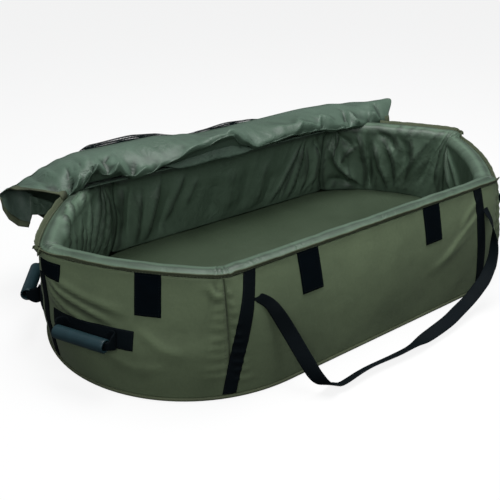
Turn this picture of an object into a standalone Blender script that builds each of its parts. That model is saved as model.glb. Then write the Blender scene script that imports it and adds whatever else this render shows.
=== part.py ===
"""Unhooking mat: a padded tub with a fold-back lid, two carry straps and four end handles.

Metres, +Z up. +X runs along the mat, +Y points to the long side that the lid is sewn to, and the origin lies on
the ground below the middle of the mat. The front is the side towards -Y.
"""
import math

import bmesh
import bpy
from mathutils import Vector

# Tub
LENGTH = 1.200
HEIGHT = 0.250
RIM_WIDTH = 0.586
BASE_WIDTH = 0.670
CORNER_TURN_DEG = 40.5
TIP_TURN_DEG = 63.7
CORNER_RADIUS = 0.050
TIP_RADIUS = 0.050

# Cloth and foam
GAP = 0.0003
CLOTH = 0.0015
WALL = 0.042
SHEET = 0.0025
PAD = 0.036
PAD_CROWN = 0.004
LINING_CROWN = 0.005
SHOULDER_RADIUS = 0.016
RIM_DROP = 0.002
BINDING_LAP = 0.0015
BINDING_RISE = 0.0085
BINDING = 0.0025
PIPING_RADIUS = 0.003

# Webbing
WEBBING = 0.002
WEBBING_WIDTH = 0.026
CARRY_WIDTH = 0.030
CARRY_END_WIDTH = 0.016
TIP_WEBBING_WIDTH = 0.020
STRAP_RIM_RUN = 0.328
STRAP_BASE_RUN = 0.391
RIGHT_STRAP_RIM_RUN = 0.302
RIGHT_STRAP_BASE_RUN = 0.311
CARRY_HEIGHT = 0.210
CARRY_SHIFT = 0.012
RIGHT_CARRY_SHIFT = 0.018
CARRY_DROP = 0.208
CARRY_FOOT_OUT = 0.0763
LOOSE_LENGTH = 0.105
BACK_STRAP_OFFSET = 0.015

# Hook-and-loop patches
PATCH = 0.0022
PATCH_WIDTH = 0.050
PATCH_HEIGHT = 0.079
LEFT_PATCH_RUN = 0.195
RIGHT_PATCH_RUN = 0.147
CORNER_PATCH_RUN = 0.5145
CORNER_PATCH_LEAN = 0.0085
TIP_PATCH_LENGTH = 0.055
TIP_PATCH_HEIGHT = 0.032
TIP_PATCH_DROP = 0.0135

# End handles
HANDLE_HEIGHT = 0.117
BAND_LENGTH = 0.186
BAND_WIDTH = 0.038
BAND_FROM_TIP = 0.030
HANDLE_SPAN = 0.140
HANDLE_REACH = 0.034
HANDLE_DROOP_DEG = 2.0
LOOP_WIDTH = 0.017
LOOP = 0.004
LOOP_END = 0.001
HANDLE_STANDOFF = 0.0028
GRIP_LENGTH = 0.116
GRIP_RADIUS = 0.0130
GRIP_EDGE = 0.0010

# Lid
LID = 0.003
LID_FOLD_INSET = 0.131
LID_FOLD_RISE = 0.012
LID_RIDGE_OUT = 0.045
LID_RIDGE_RISE = 0.042
LID_SLACK = 0.043
LID_PUFF = 0.014
SEAM_END_INSET = 0.120
RIDGE_END_INSET = 0.025
HEM_END_INSET = 0.215
HEM_WIDTH = 0.020
HEM_Z = 0.010
HEM_OUT = 0.037
END_DROP = 0.045
TIP_RISE = 0.020
FLAP_FOLD = 0.006
FLAP_FOLD_PITCH = 0.300
MESH_RISE = 0.055
MESH_OUT = 0.012
MESH_RISE_X = -0.180
MESH_RISE_HALF = 0.250
MESH_RISE_TOP = 0.012
MESH_RISE_DROP = 0.062
HEM_EXTRA = 0.0004
MIDDLE_FOLD = 0.004
MIDDLE_FOLD_PITCH = 0.110
WINDOW_SIDE_MARGIN = 0.085
WINDOW_TOP_MARGIN = 0.016
WINDOW_HEM_MARGIN = 0.070
MESH = 0.0012
HOOK_SHARE = 0.68

# Mesh fineness, in counts
CORNER_STEPS = 6
PANEL_STEPS = 6
TIP_STEPS = 4
CROWN_STEPS = 4
SHOULDER_STEPS = 4
GRIP_SIDES = 14
BAND_TRIES = 6
GATHER_STEPS = 4
RIM_TRIES = 30
REAR_COLUMNS = 32
FLAP_COLUMNS = 48
FLAP_ROWS = 12
LID_COLUMNS = 44
LID_ROWS = 8

CORNER_TURN = math.radians(CORNER_TURN_DEG)
TIP_TURN = math.radians(TIP_TURN_DEG)
SEAM_TURN = CORNER_TURN / 2
RIM_HALF = RIM_WIDTH / 2
BASE_RADIUS = BASE_WIDTH / 2
LID_FOLD_Y = RIM_HALF - LID_FOLD_INSET
LID_FOLD_Z = HEIGHT + LID_FOLD_RISE
LID_RIDGE_Y = RIM_HALF + LID_RIDGE_OUT
LID_RIDGE_Z = HEIGHT + LID_RIDGE_RISE
HEM_Y = BASE_RADIUS + HEM_OUT
SEAM_END_X = LENGTH / 2 - SEAM_END_INSET
RIDGE_HALF_LENGTH = LENGTH / 2 - RIDGE_END_INSET
HEM_HALF_LENGTH = LENGTH / 2 - HEM_END_INSET
BASE_CENTRE = LENGTH / 2 - BASE_RADIUS
PANEL_RADIUS = (
    RIM_HALF
    - CORNER_RADIUS * (1 - math.cos(CORNER_TURN))
    - TIP_RADIUS * math.cos(TIP_TURN)
) / (math.cos(CORNER_TURN) - math.cos(TIP_TURN))
RIM_STRAIGHT = (
    LENGTH / 2
    - TIP_RADIUS
    - (CORNER_RADIUS - PANEL_RADIUS) * math.sin(CORNER_TURN)
    - (PANEL_RADIUS - TIP_RADIUS) * math.sin(TIP_TURN)
)
FLOOR_TOP = SHEET + GAP + PAD + GAP + CLOTH
COVER_LOW = SHEET + GAP
OUTSIDE = GAP
STRAP_TOP = HEIGHT - RIM_DROP - BINDING_LAP - GAP
STRAP_LOW = 2 * PIPING_RADIUS + 2 * GAP + WEBBING
CARRY_AXIS_OUT = OUTSIDE + WEBBING + GAP + WEBBING / 2
HANDLE_AXIS_OUT = OUTSIDE + WEBBING + HANDLE_STANDOFF
GRIP_BORE_RADIUS = (math.hypot(LOOP_WIDTH, LOOP) / 2 + GAP) / math.cos(math.pi / GRIP_SIDES)


def blend_value(low, high, share):
    """Value that lies share of the way from low to high."""
    return low + (high - low) * share


def smooth_step(share):
    """Ease from 0 to 1 with level ends."""
    share = min(1.0, max(0.0, share))
    return share * share * (3 - 2 * share)


def make_material(name, colour, roughness, metallic=0.0):
    """Principled material with a linear colour, a roughness and a metallic value."""
    material = bpy.data.materials.new(name)
    material.use_nodes = True
    shader = material.node_tree.nodes["Principled BSDF"]
    shader.inputs["Base Color"].default_value = (*colour, 1.0)
    shader.inputs["Roughness"].default_value = roughness
    shader.inputs["Metallic"].default_value = metallic
    return material


def add_object(name, mesh, material, collection):
    """Link a mesh to the scene as a named object with one material."""
    mesh.materials.clear()
    mesh.materials.append(material)
    item = bpy.data.objects.new(name, mesh)
    collection.objects.link(item)
    return item


def loft(name, sections, material, collection, ring=False, smooth=False):
    """Closed body through equal-length closed sections, capped at both ends or joined into a ring."""
    body = bmesh.new()
    rows = [[body.verts.new(point) for point in section] for section in sections]
    count = len(rows[0])
    pairs = list(zip(rows, rows[1:]))
    if ring:
        pairs.append((rows[-1], rows[0]))
    for near, far in pairs:
        for index in range(count):
            after = (index + 1) % count
            body.faces.new((near[index], near[after], far[after], far[index]))
    if not ring:
        body.faces.new(list(reversed(rows[0])))
        body.faces.new(rows[-1])
    bmesh.ops.recalc_face_normals(body, faces=body.faces)
    mesh = bpy.data.meshes.new(name)
    body.to_mesh(mesh)
    body.free()
    if smooth:
        mesh.shade_smooth()
    return add_object(name, mesh, material, collection)


def rim_quarter(turn):
    """Rim outline in the front right quarter, where its edge has turned by turn from +X."""
    corner = Vector((RIM_STRAIGHT, CORNER_RADIUS - RIM_HALF))
    if turn <= CORNER_TURN:
        return corner + heading(turn) * CORNER_RADIUS
    panel = corner + heading(CORNER_TURN) * (CORNER_RADIUS - PANEL_RADIUS)
    if turn <= TIP_TURN:
        return panel + heading(turn) * PANEL_RADIUS
    tip = panel + heading(TIP_TURN) * (PANEL_RADIUS - TIP_RADIUS)
    return tip + heading(turn) * TIP_RADIUS


def heading(turn):
    """Outward direction of a wall whose edge has turned by turn."""
    return Vector((math.sin(turn), -math.cos(turn)))


def wall_point(turn, side, height, out):
    """Point out from the tub's outer face.

    turn is the edge's direction, from -90 degrees at the left tip through 0 along the front to 90 at the right
    tip and on to 270. side is -1 at the left end, 1 at the right end, and between them on the long sides.
    """
    behind = turn > math.pi / 2
    quarter = abs(math.pi - turn) if behind else abs(turn)
    rim = rim_quarter(min(quarter, math.pi / 2))
    rim = Vector((side * rim.x, -rim.y if behind else rim.y))
    base = Vector((side * BASE_CENTRE, 0)) + heading(turn) * BASE_RADIUS
    point = base.lerp(rim, height / HEIGHT) + heading(turn) * out
    return Vector((point.x, point.y, height))


def quarter_turns():
    """Edge directions of a quarter of the tub, from 0 to 90 degrees."""
    turns = [CORNER_TURN * step / CORNER_STEPS for step in range(CORNER_STEPS)]
    turns += [blend_value(CORNER_TURN, TIP_TURN, step / PANEL_STEPS) for step in range(PANEL_STEPS)]
    turns += [blend_value(TIP_TURN, math.pi / 2, step / TIP_STEPS) for step in range(TIP_STEPS + 1)]
    return turns


def loop_stations():
    """Wall stations from the left tip, round the front, the right tip and the back, to the left tip."""
    quarter = quarter_turns()
    stations = [(-turn, -1.0) for turn in reversed(quarter)]
    stations += [(turn, 1.0) for turn in quarter]
    stations += [(math.pi - turn, 1.0) for turn in reversed(quarter[:-1])]
    stations += [(math.pi + turn, -1.0) for turn in quarter]
    return stations


def stations_between(first, last):
    """Wall stations whose turn lies from first to last."""
    slip = SEAM_TURN / 1000
    return [item for item in loop_stations() if first - slip <= item[0] <= last + slip]


def wall_sweep(name, first, last, profile, material, collection):
    """Sweep a profile of (out, height) points along the wall, half a gap short of each seam."""
    stations = stations_between(first, last)
    sections = []
    for index, (turn, side) in enumerate(stations):
        ease = GAP / 2 if index == 0 else -GAP / 2 if index == len(stations) - 1 else 0.0
        along = Vector((math.cos(turn), math.sin(turn), 0)) * ease
        sections.append([wall_point(turn, side, height, out) + along for out, height in profile])
    return loft(name, sections, material, collection)


def wall_ring(name, profile, material, collection):
    """Sweep a profile of (out, height) points right round the wall."""
    stations = loop_stations()[:-1]
    sections = [[wall_point(turn, side, height, out) for out, height in profile] for turn, side in stations]
    return loft(name, sections, material, collection, ring=True)


def inner_profile():
    """Visible inner face of the padded wall, from the ground sheet over the shoulder to the outer edge."""
    low = FLOOR_TOP
    high = HEIGHT - SHOULDER_RADIUS
    points = [(-WALL, COVER_LOW), (-WALL, low)]
    for step in range(1, CROWN_STEPS):
        share = step / CROWN_STEPS
        swell = LINING_CROWN * math.sin(math.pi * share)
        points.append((-WALL - swell, blend_value(low, high, share)))
    for step in range(SHOULDER_STEPS + 1):
        angle = math.pi / 2 * step / SHOULDER_STEPS
        across = SHOULDER_RADIUS * (1 - math.cos(angle))
        up = SHOULDER_RADIUS * math.sin(angle)
        points.append((-WALL + across, high + up))
    points.append((-CLOTH - GAP, HEIGHT - RIM_DROP / 2))
    points.append((0.0, HEIGHT - RIM_DROP))
    return points


def offset_path(points, distance):
    """Polyline moved to its right-hand side by distance, mitred at its corners."""
    moved = []
    for index, (across, up) in enumerate(points):
        normals = []
        for start, end in ((index - 1, index), (index, index + 1)):
            if start < 0 or end >= len(points):
                continue
            step = Vector((points[end][0] - points[start][0], points[end][1] - points[start][1]))
            step.normalize()
            normals.append(Vector((step.y, -step.x)))
        bisector = sum(normals, Vector((0, 0))).normalized()
        bisector /= bisector.dot(normals[0])
        moved.append((across + bisector.x * distance, up + bisector.y * distance))
    return moved


def lining_profile():
    """Closed profile of the lining cloth over the wall's inner face and rim."""
    face = inner_profile()
    back = offset_path(face, CLOTH)
    back[0] = (back[0][0], COVER_LOW)
    back[-1] = (0.0, back[-1][1])
    return face + list(reversed(back))


def foam_profile():
    """Closed profile of the foam board between the cover and the lining."""
    top = offset_path(inner_profile(), CLOTH + GAP)
    top[0] = (top[0][0], COVER_LOW)
    outer = -CLOTH - GAP
    top[-1] = (outer, top[-1][1])
    del top[-2]
    return top + [(outer, COVER_LOW)]


def cover_profile():
    """Closed profile of the outer cover."""
    top = HEIGHT - RIM_DROP - CLOTH - 2 * GAP
    return [(0.0, COVER_LOW), (0.0, top), (-CLOTH, top), (-CLOTH, COVER_LOW)]


def binding_profile():
    """Closed profile of the bound seam that stands up along the rim's outer edge."""
    top = HEIGHT - RIM_DROP + BINDING_RISE
    low = HEIGHT - RIM_DROP - BINDING_LAP
    bulge = OUTSIDE + BINDING
    rounding = BINDING / 2
    return [
        (OUTSIDE, low),
        (bulge, low + rounding),
        (bulge, top - rounding),
        (OUTSIDE, top),
    ]


def piping_profile():
    """Closed profile of the piping round the base seam."""
    centre = (OUTSIDE + PIPING_RADIUS, PIPING_RADIUS)
    sides = 6
    points = []
    for step in range(sides):
        angle = 2 * math.pi * (step + 1 / 2) / sides
        reach = PIPING_RADIUS / math.cos(math.pi / sides)
        points.append((centre[0] + PIPING_RADIUS * math.cos(angle), centre[1] + reach * math.sin(angle)))
    low = min(point[1] for point in points)
    return [(across, up - low) for across, up in points]


def build_walls(materials, collection):
    """Foam boards, outer covers and linings of the tub's six-sided wall."""
    back = math.pi
    quarter = math.pi / 2
    spans = {
        "front": (-SEAM_TURN, SEAM_TURN),
        "right_front": (SEAM_TURN, quarter),
        "right_back": (quarter, back - SEAM_TURN),
        "back": (back - SEAM_TURN, back + SEAM_TURN),
        "left_back": (back + SEAM_TURN, back + quarter),
        "left_front": (-quarter, -SEAM_TURN),
    }
    for name, (first, last) in spans.items():
        wall_sweep(name + "_wall_foam", first, last, foam_profile(), materials["foam"], collection)
        wall_sweep(name + "_lining", first, last, lining_profile(), materials["lining"], collection)
    for name in ("front", "back"):
        first, last = spans[name]
        wall_sweep(name + "_cover", first, last, cover_profile(), materials["cover"], collection)
    first, last = SEAM_TURN, back - SEAM_TURN
    wall_sweep("right_end_cover", first, last, cover_profile(), materials["cover"], collection)
    build_left_end_cover(materials["cover"], collection)
    wall_sweep("rim_binding_front", -quarter, quarter, binding_profile(), materials["binding"], collection)
    wall_sweep("rim_binding_back", quarter, back + quarter, binding_profile(), materials["binding"], collection)
    wall_ring("base_piping", piping_profile(), materials["webbing"], collection)


def build_left_end_cover(material, collection):
    """Outer cover of the left end, which crosses the tip where the station list starts and ends."""
    back_part = stations_between(math.pi + SEAM_TURN, math.pi * 3 / 2)
    front_part = stations_between(-math.pi / 2, -SEAM_TURN)[1:]
    stations = back_part + front_part
    sections = []
    for index, (turn, side) in enumerate(stations):
        ease = GAP / 2 if index == 0 else -GAP / 2 if index == len(stations) - 1 else 0.0
        along = Vector((math.cos(turn), math.sin(turn), 0)) * ease
        sections.append([wall_point(turn, side, height, out) + along for out, height in cover_profile()])
    loft("left_end_cover", sections, material, collection)


def base_outline(inset, height):
    """Outline of the base at a height, moved inwards by inset."""
    return [wall_point(turn, side, height, -inset) for turn, side in loop_stations()[:-1]]


def flat_outline(inset, height, level):
    """Outline taken at one height of the wall and laid at another level."""
    return [Vector((point.x, point.y, level)) for point in base_outline(inset, height)]


def build_floor(materials, collection):
    """Ground sheet, floor pad and floor lining."""
    sheet = [flat_outline(0.0, 0.0, level) for level in (0.0, SHEET)]
    loft("ground_sheet", sheet, materials["ground"], collection)
    edge = WALL + GAP
    low = SHEET + GAP
    top = low + PAD
    crown_shares = ((0.0, 0.0), (0.06, 0.35), (0.25, 0.75), (0.60, 1.0))
    pad = [base_outline(edge, low), base_outline(edge, top)]
    pad += [crown_ring(edge, top, share, rise) for share, rise in crown_shares[1:]]
    loft("floor_pad_foam", pad, materials["foam"], collection)
    under = top + GAP
    skin = [crown_ring(edge, under, share, rise) for share, rise in reversed(crown_shares)]
    skin += [crown_ring(edge, under + CLOTH, share, rise) for share, rise in crown_shares]
    loft("floor_lining", skin, materials["floor"], collection)


def crown_ring(edge, level, share, rise):
    """Ring of the floor's crown: share of the way in to the middle line, at rise of the crown's height."""
    ring = []
    for point in base_outline(edge, level):
        spine = Vector((max(-BASE_CENTRE, min(BASE_CENTRE, point.x)), 0))
        inner = Vector((point.x, point.y)).lerp(spine, share)
        ring.append(Vector((inner.x, inner.y, level + PAD_CROWN * rise)))
    return ring


def locate(run, height):
    """Turn and side of the point that lies run along the wall from the front's middle, at a height."""
    share = height / HEIGHT
    straight = blend_value(BASE_CENTRE, RIM_STRAIGHT, share)
    rest = abs(run)
    sign = 1.0 if run >= 0 else -1.0
    if rest <= straight:
        return 0.0, run / straight
    rest -= straight
    start = 0.0
    for end, radius in ((CORNER_TURN, CORNER_RADIUS), (TIP_TURN, PANEL_RADIUS)):
        bend = blend_value(BASE_RADIUS, radius, share)
        if rest <= (end - start) * bend:
            return sign * (start + rest / bend), sign
        rest -= (end - start) * bend
        start = end
    turn = start + rest / blend_value(BASE_RADIUS, TIP_RADIUS, share)
    return sign * min(turn, math.pi / 2), sign


def quarter_length(height):
    """Length of the wall from the front's middle to a tip, at a height."""
    share = height / HEIGHT
    straight = blend_value(BASE_CENTRE, RIM_STRAIGHT, share)
    corner = CORNER_TURN * blend_value(BASE_RADIUS, CORNER_RADIUS, share)
    panel = (TIP_TURN - CORNER_TURN) * blend_value(BASE_RADIUS, PANEL_RADIUS, share)
    tip = (math.pi / 2 - TIP_TURN) * blend_value(BASE_RADIUS, TIP_RADIUS, share)
    return straight + corner + panel + tip


def on_wall(run, height, out, facing):
    """Point on the wall by its run from the middle of the front, facing 1, or of the back, facing -1."""
    turn, side = locate(run, height)
    point = wall_point(turn, side, height, out)
    return Vector((point.x, point.y * facing, point.z))


def wall_plate(name, low, high, facing, thickness, steps, material, collection):
    """Plate that lies on the wall between a low and a high edge, each (left run, right run, height)."""
    sections = []
    columns, rows = steps
    for column in range(columns + 1):
        across = column / columns
        inner = []
        outer = []
        for row in range(rows + 1):
            up = row / rows
            height = blend_value(low[2], high[2], up)
            left = blend_value(low[0], high[0], up)
            right = blend_value(low[1], high[1], up)
            run = blend_value(left, right, across)
            inner.append(on_wall(run, height, OUTSIDE, facing))
            outer.append(on_wall(run, height, OUTSIDE + thickness, facing))
        sections.append(inner + list(reversed(outer)))
    return loft(name, sections, material, collection)


def build_webbing(materials, collection):
    """Reinforcing straps on the long sides, tip webbing and handle bands."""
    half = WEBBING_WIDTH / 2
    for face, facing in (("front", 1), ("back", -1)):
        for end, sign in (("left", -1), ("right", 1)):
            rim_run = STRAP_RIM_RUN if sign * facing < 0 else RIGHT_STRAP_RIM_RUN
            base_run = STRAP_BASE_RUN if sign * facing < 0 else RIGHT_STRAP_BASE_RUN
            low = (sign * base_run - half, sign * base_run + half, STRAP_LOW)
            high = (sign * rim_run - half, sign * rim_run + half, STRAP_TOP)
            name = f"{face}_{end}_strap"
            wall_plate(name, low, high, facing, WEBBING, (4, 10), materials["webbing"], collection)
    for end, sign in (("left", -1), ("right", 1)):
        build_tip_webbing(end, sign, materials["webbing"], collection)


def build_tip_webbing(end, sign, material, collection):
    """Webbing that runs down the tip of one end, from the tip's patch to the base."""
    sections = []
    columns = 4
    low = STRAP_LOW
    high = STRAP_TOP - TIP_PATCH_DROP - TIP_PATCH_HEIGHT - GAP
    for column in range(columns + 1):
        across = 2 * column / columns - 1
        facing = 1 if across <= 0 else -1
        inner = []
        outer = []
        for height in (low, blend_value(low, high, 1 / 2), high):
            run = quarter_length(height) - abs(across) * TIP_WEBBING_WIDTH / 2
            inner.append(on_wall(sign * run, height, OUTSIDE, facing))
            outer.append(on_wall(sign * run, height, OUTSIDE + WEBBING, facing))
        sections.append(inner + list(reversed(outer)))
    loft(f"{end}_tip_webbing", sections, material, collection)


def build_loop_patches(materials, collection):
    """Loop patches that the lid's hook patches press on to."""
    material = materials["loop"]
    half = PATCH_WIDTH / 2
    low_z = STRAP_TOP - PATCH_HEIGHT
    runs = {
        "left_corner_loop_patch": (-CORNER_PATCH_RUN, -CORNER_PATCH_LEAN),
        "front_left_loop_patch": (-LEFT_PATCH_RUN, 0.0),
        "front_right_loop_patch": (RIGHT_PATCH_RUN, 0.0),
        "right_corner_loop_patch": (CORNER_PATCH_RUN, CORNER_PATCH_LEAN),
    }
    for name, (run, lean) in runs.items():
        low = (run + lean - half, run + lean + half, low_z)
        high = (run - half, run + half, STRAP_TOP)
        wall_plate(name, low, high, 1, PATCH, (4, 2), material, collection)
    for end, sign in (("left", -1), ("right", 1)):
        high_z = STRAP_TOP - TIP_PATCH_DROP
        edges = []
        for height in (high_z - TIP_PATCH_HEIGHT, high_z):
            tip = quarter_length(height)
            runs = sorted((sign * (tip - GAP), sign * (tip - TIP_PATCH_LENGTH)))
            edges.append((runs[0], runs[1], height))
        wall_plate(f"{end}_tip_loop_patch", edges[0], edges[1], 1, PATCH, (10, 2), material, collection)


def handle_frame(sign, facing):
    """Axis ends and directions of one handle: middle, along, out and up."""
    height = HANDLE_HEIGHT
    middle_run = quarter_length(height) - BAND_FROM_TIP - BAND_LENGTH / 2
    ends = []
    for offset in (-HANDLE_SPAN / 2, HANDLE_SPAN / 2):
        run = sign * (middle_run + offset)
        ends.append(on_wall(run, height, HANDLE_AXIS_OUT, facing))
    middle = (ends[0] + ends[1]) / 2
    along = (ends[1] - ends[0]).normalized()
    up = Vector((0, 0, 1))
    out = along.cross(up)
    if out.dot(Vector((sign, 0, 0))) < 0:
        out = -out
    droop = math.radians(HANDLE_DROOP_DEG)
    reach = out * math.cos(droop) - up * math.sin(droop)
    rise = out * math.sin(droop) + up * math.cos(droop)
    return middle, along, reach, rise


def band_reach(sign, facing, middle, along, reach, across):
    """How far the handle band's face stands out along reach, at a distance across from the handle's middle."""
    level = HANDLE_HEIGHT
    middle_run = quarter_length(level) - BAND_FROM_TIP - BAND_LENGTH / 2
    offset = across
    for _ in range(BAND_TRIES):
        face = on_wall(sign * (middle_run + offset), level, OUTSIDE + WEBBING, facing) - middle
        offset += across - face.dot(along)
    return face.dot(reach)


def build_handle(end, sign, face, facing, materials, collection):
    """Band, webbing loop and grip of one end handle."""
    height = HANDLE_HEIGHT
    name = f"{end}_{face}"
    edges = []
    for level in (height - BAND_WIDTH / 2, height + BAND_WIDTH / 2):
        outer_run = quarter_length(level) - BAND_FROM_TIP
        runs = sorted((sign * outer_run, sign * (outer_run - BAND_LENGTH)))
        edges.append((runs[0], runs[1], level))
    webbing = materials["webbing"]
    wall_plate(f"{name}_handle_band", edges[0], edges[1], facing, WEBBING, (16, 2), webbing, collection)
    middle, along, reach, rise = handle_frame(sign, facing)
    half_span = HANDLE_SPAN / 2
    half_grip = GRIP_LENGTH / 2
    route_shares = ((1.0, 0.0, 0.0), (1.0, 0.0, 0.35), (1.0, 0.2, 0.75), (0.0, 1.0, 1.0))
    points = []
    for span_share, grip_share, reach_share in route_shares:
        across = half_span * span_share * (1 - grip_share) + (half_grip + LOOP) * grip_share
        points.append((across, HANDLE_REACH * reach_share))
    points.append((half_grip / 2, HANDLE_REACH))
    path = [(-across, out) for across, out in points] + [(across, out) for across, out in reversed(points)]
    sections = []
    for index, (across, out) in enumerate(path):
        at_end = index in (0, len(path) - 1)
        before = Vector(path[max(index - 1, 0)])
        after = Vector(path[min(index + 1, len(path) - 1)])
        step = (after - before).normalized()
        side = Vector((-step.y, step.x)) * LOOP_WIDTH / 2
        if at_end:
            side = Vector((-LOOP_WIDTH / 2 if index == 0 else LOOP_WIDTH / 2, 0.0))
        thick = rise * (LOOP_END if at_end else LOOP) / 2
        pair = []
        for sense in (-1, 1):
            place = Vector((across, out)) + side * sense
            if at_end:
                place.y = band_reach(sign, facing, middle, along, reach, place.x) + GAP
            pair.append(middle + along * place.x + reach * place.y)
        sections.append([pair[0] - thick, pair[1] - thick, pair[1] + thick, pair[0] + thick])
    loft(f"{name}_handle_loop", sections, webbing, collection)
    build_grip(f"{name}_handle_grip", middle + reach * HANDLE_REACH, along, materials["grip"], collection)


def build_grip(name, centre, along, material, collection):
    """Tube grip: a rectangular profile with eased ends, turned about the grip's own axis."""
    half = GRIP_LENGTH / 2
    edge = GRIP_EDGE
    profile = [
        (GRIP_BORE_RADIUS, half),
        (GRIP_RADIUS - edge, half),
        (GRIP_RADIUS, half - edge),
        (GRIP_RADIUS, edge - half),
        (GRIP_RADIUS - edge, -half),
        (GRIP_BORE_RADIUS, -half),
    ]
    body = bmesh.new()
    corners = [body.verts.new((radius, 0, level)) for radius, level in profile]
    for near, far in zip(corners, corners[1:] + corners[:1]):
        body.edges.new((near, far))
    mesh = bpy.data.meshes.new(name)
    body.to_mesh(mesh)
    body.free()
    grip = add_object(name, mesh, material, collection)
    screw = grip.modifiers.new("turned", "SCREW")
    screw.axis = "Z"
    screw.angle = 2 * math.pi
    screw.steps = GRIP_SIDES
    screw.render_steps = GRIP_SIDES
    screw.use_merge_vertices = True
    screw.merge_threshold = 0.00001
    screw.use_normal_calculate = True
    grip.location = centre
    grip.rotation_mode = "QUATERNION"
    grip.rotation_quaternion = Vector((0, 0, 1)).rotation_difference(along)
    return grip


def smooth_route(points, steps):
    """Points of a smooth curve through the route's own points."""
    route = [Vector(point) for point in points]
    route = [route[0] * 2 - route[1]] + route + [route[-1] * 2 - route[-2]]
    result = []
    for index in range(1, len(route) - 2):
        before, start, end, after = route[index - 1:index + 3]
        for step in range(steps):
            share = step / steps
            curve = 2 * start + (end - before) * share
            curve += (2 * before - 5 * start + 4 * end - after) * share ** 2
            curve += (3 * start - before - 3 * end + after) * share ** 3
            result.append(curve / 2)
    result.append(route[-2])
    return result


def build_ribbon(name, route, sides, width, thickness, material, collection, flat=False):
    """Flat strap along a route, with its width (or its thickness, if flat) along each route point's guide."""
    steps = 3
    points = smooth_route(route, steps)
    guides = smooth_route(sides, steps)
    sections = []
    for index, point in enumerate(points):
        before = points[max(index - 1, 0)]
        after = points[min(index + 1, len(points) - 1)]
        tangent = (after - before).normalized()
        if index == 0:
            tangent = (Vector(route[1]) - Vector(route[0])).normalized()
        if index == len(points) - 1:
            tangent = (Vector(route[-1]) - Vector(route[-2])).normalized()
        guide = guides[index]
        wide = (guide - tangent * guide.dot(tangent)).normalized()
        thick = tangent.cross(wide).normalized()
        if flat:
            wide, thick = thick, wide
        from_end = min(index, len(points) - 1 - index) / steps
        wide = wide * blend_value(CARRY_END_WIDTH, width, smooth_step(from_end / GATHER_STEPS)) / 2
        thick = thick * thickness / 2
        sections.append([point - wide - thick, point + wide - thick, point + wide + thick, point - wide + thick])
    return loft(name, sections, material, collection)


def carry_axis_y():
    """Distance of a carry strap's hinge line from the middle of the mat."""
    return -wall_point(0.0, 0.0, CARRY_HEIGHT, CARRY_AXIS_OUT).y


def strap_run(height, rim_run, base_run):
    """Run of a reinforcing strap's middle line at a height."""
    return blend_value(base_run, rim_run, (height - STRAP_LOW) / (STRAP_TOP - STRAP_LOW))


def build_front_carry_strap(material, collection):
    """Carry strap of the front, which lies on the ground with a loose, twisted loop at its right end."""
    axis = -carry_axis_y()
    left = CARRY_SHIFT - strap_run(CARRY_HEIGHT, STRAP_RIM_RUN, STRAP_BASE_RUN)
    right = strap_run(CARRY_HEIGHT, RIGHT_STRAP_RIM_RUN, RIGHT_STRAP_BASE_RUN) + RIGHT_CARRY_SHIFT
    sag = CARRY_DROP
    out = BASE_RADIUS + axis + CARRY_FOOT_OUT
    left_shares = (
        (0.00, 0.00, 0.00), (0.02, 0.05, 0.06), (0.23, 0.13, 0.15), (0.34, 0.25, 0.25), (0.47, 0.43, 0.43),
        (0.59, 0.71, 0.65), (0.70, 0.90, 0.81), (0.86, 1.01, 0.90), (1.09, 0.99, 0.965), (1.23, 1.03, 0.97),
        (1.69, 1.00, 0.96), (2.03, 0.99, 0.96), (2.61, 1.02, 0.96), (3.07, 1.03, 0.95),
    )
    right_shares = (
        (2.66, 1.00, 0.94), (1.99, 0.94, 0.91), (1.54, 0.86, 0.88), (1.09, 0.78, 0.84), (0.80, 0.76, 0.75),
        (0.59, 0.73, 0.68), (0.27, 0.62, 0.54), (0.10, 0.49, 0.38), (-0.01, 0.29, 0.19), (-0.02, 0.06, 0.06),
        (0.00, 0.00, 0.00),
    )
    route = [(left + LOOSE_LENGTH * x, axis - out * y, CARRY_HEIGHT - sag * z) for x, y, z in left_shares]
    route += [(right - LOOSE_LENGTH * x, axis - out * y, CARRY_HEIGHT - sag * z) for x, y, z in right_shares]
    turns = (
        (1.0, 0.0, 0.0), (1.0, 0.0, 0.0), (0.9, -0.1, 0.2), (0.85, -0.3, 0.45), (0.85, -0.3, 0.45),
        (0.85, -0.3, 0.45), (0.6, -0.5, 0.6), (0.2, -0.8, 0.5), (0.0, -0.9, 0.3), (0.0, -0.95, 0.3),
        (0.0, -0.97, 0.24), (0.0, -0.97, 0.24), (0.0, -0.97, 0.24), (0.0, -0.97, 0.2), (0.1, -0.98, -0.1),
        (0.25, -0.93, -0.3), (0.3, -0.9, -0.3), (0.3, -0.93, -0.2), (0.3, -0.94, -0.15), (0.2, -0.98, 0.0),
        (-0.07, -0.98, 0.2), (-0.24, -0.9, 0.34), (-0.87, -0.32, 0.38), (-1.0, 0.0, 0.0), (-1.0, 0.0, 0.0),
    )
    sides = [Vector(turn) for turn in turns]
    build_ribbon("front_carry_strap", route, sides, CARRY_WIDTH, WEBBING, material, collection)


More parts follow.
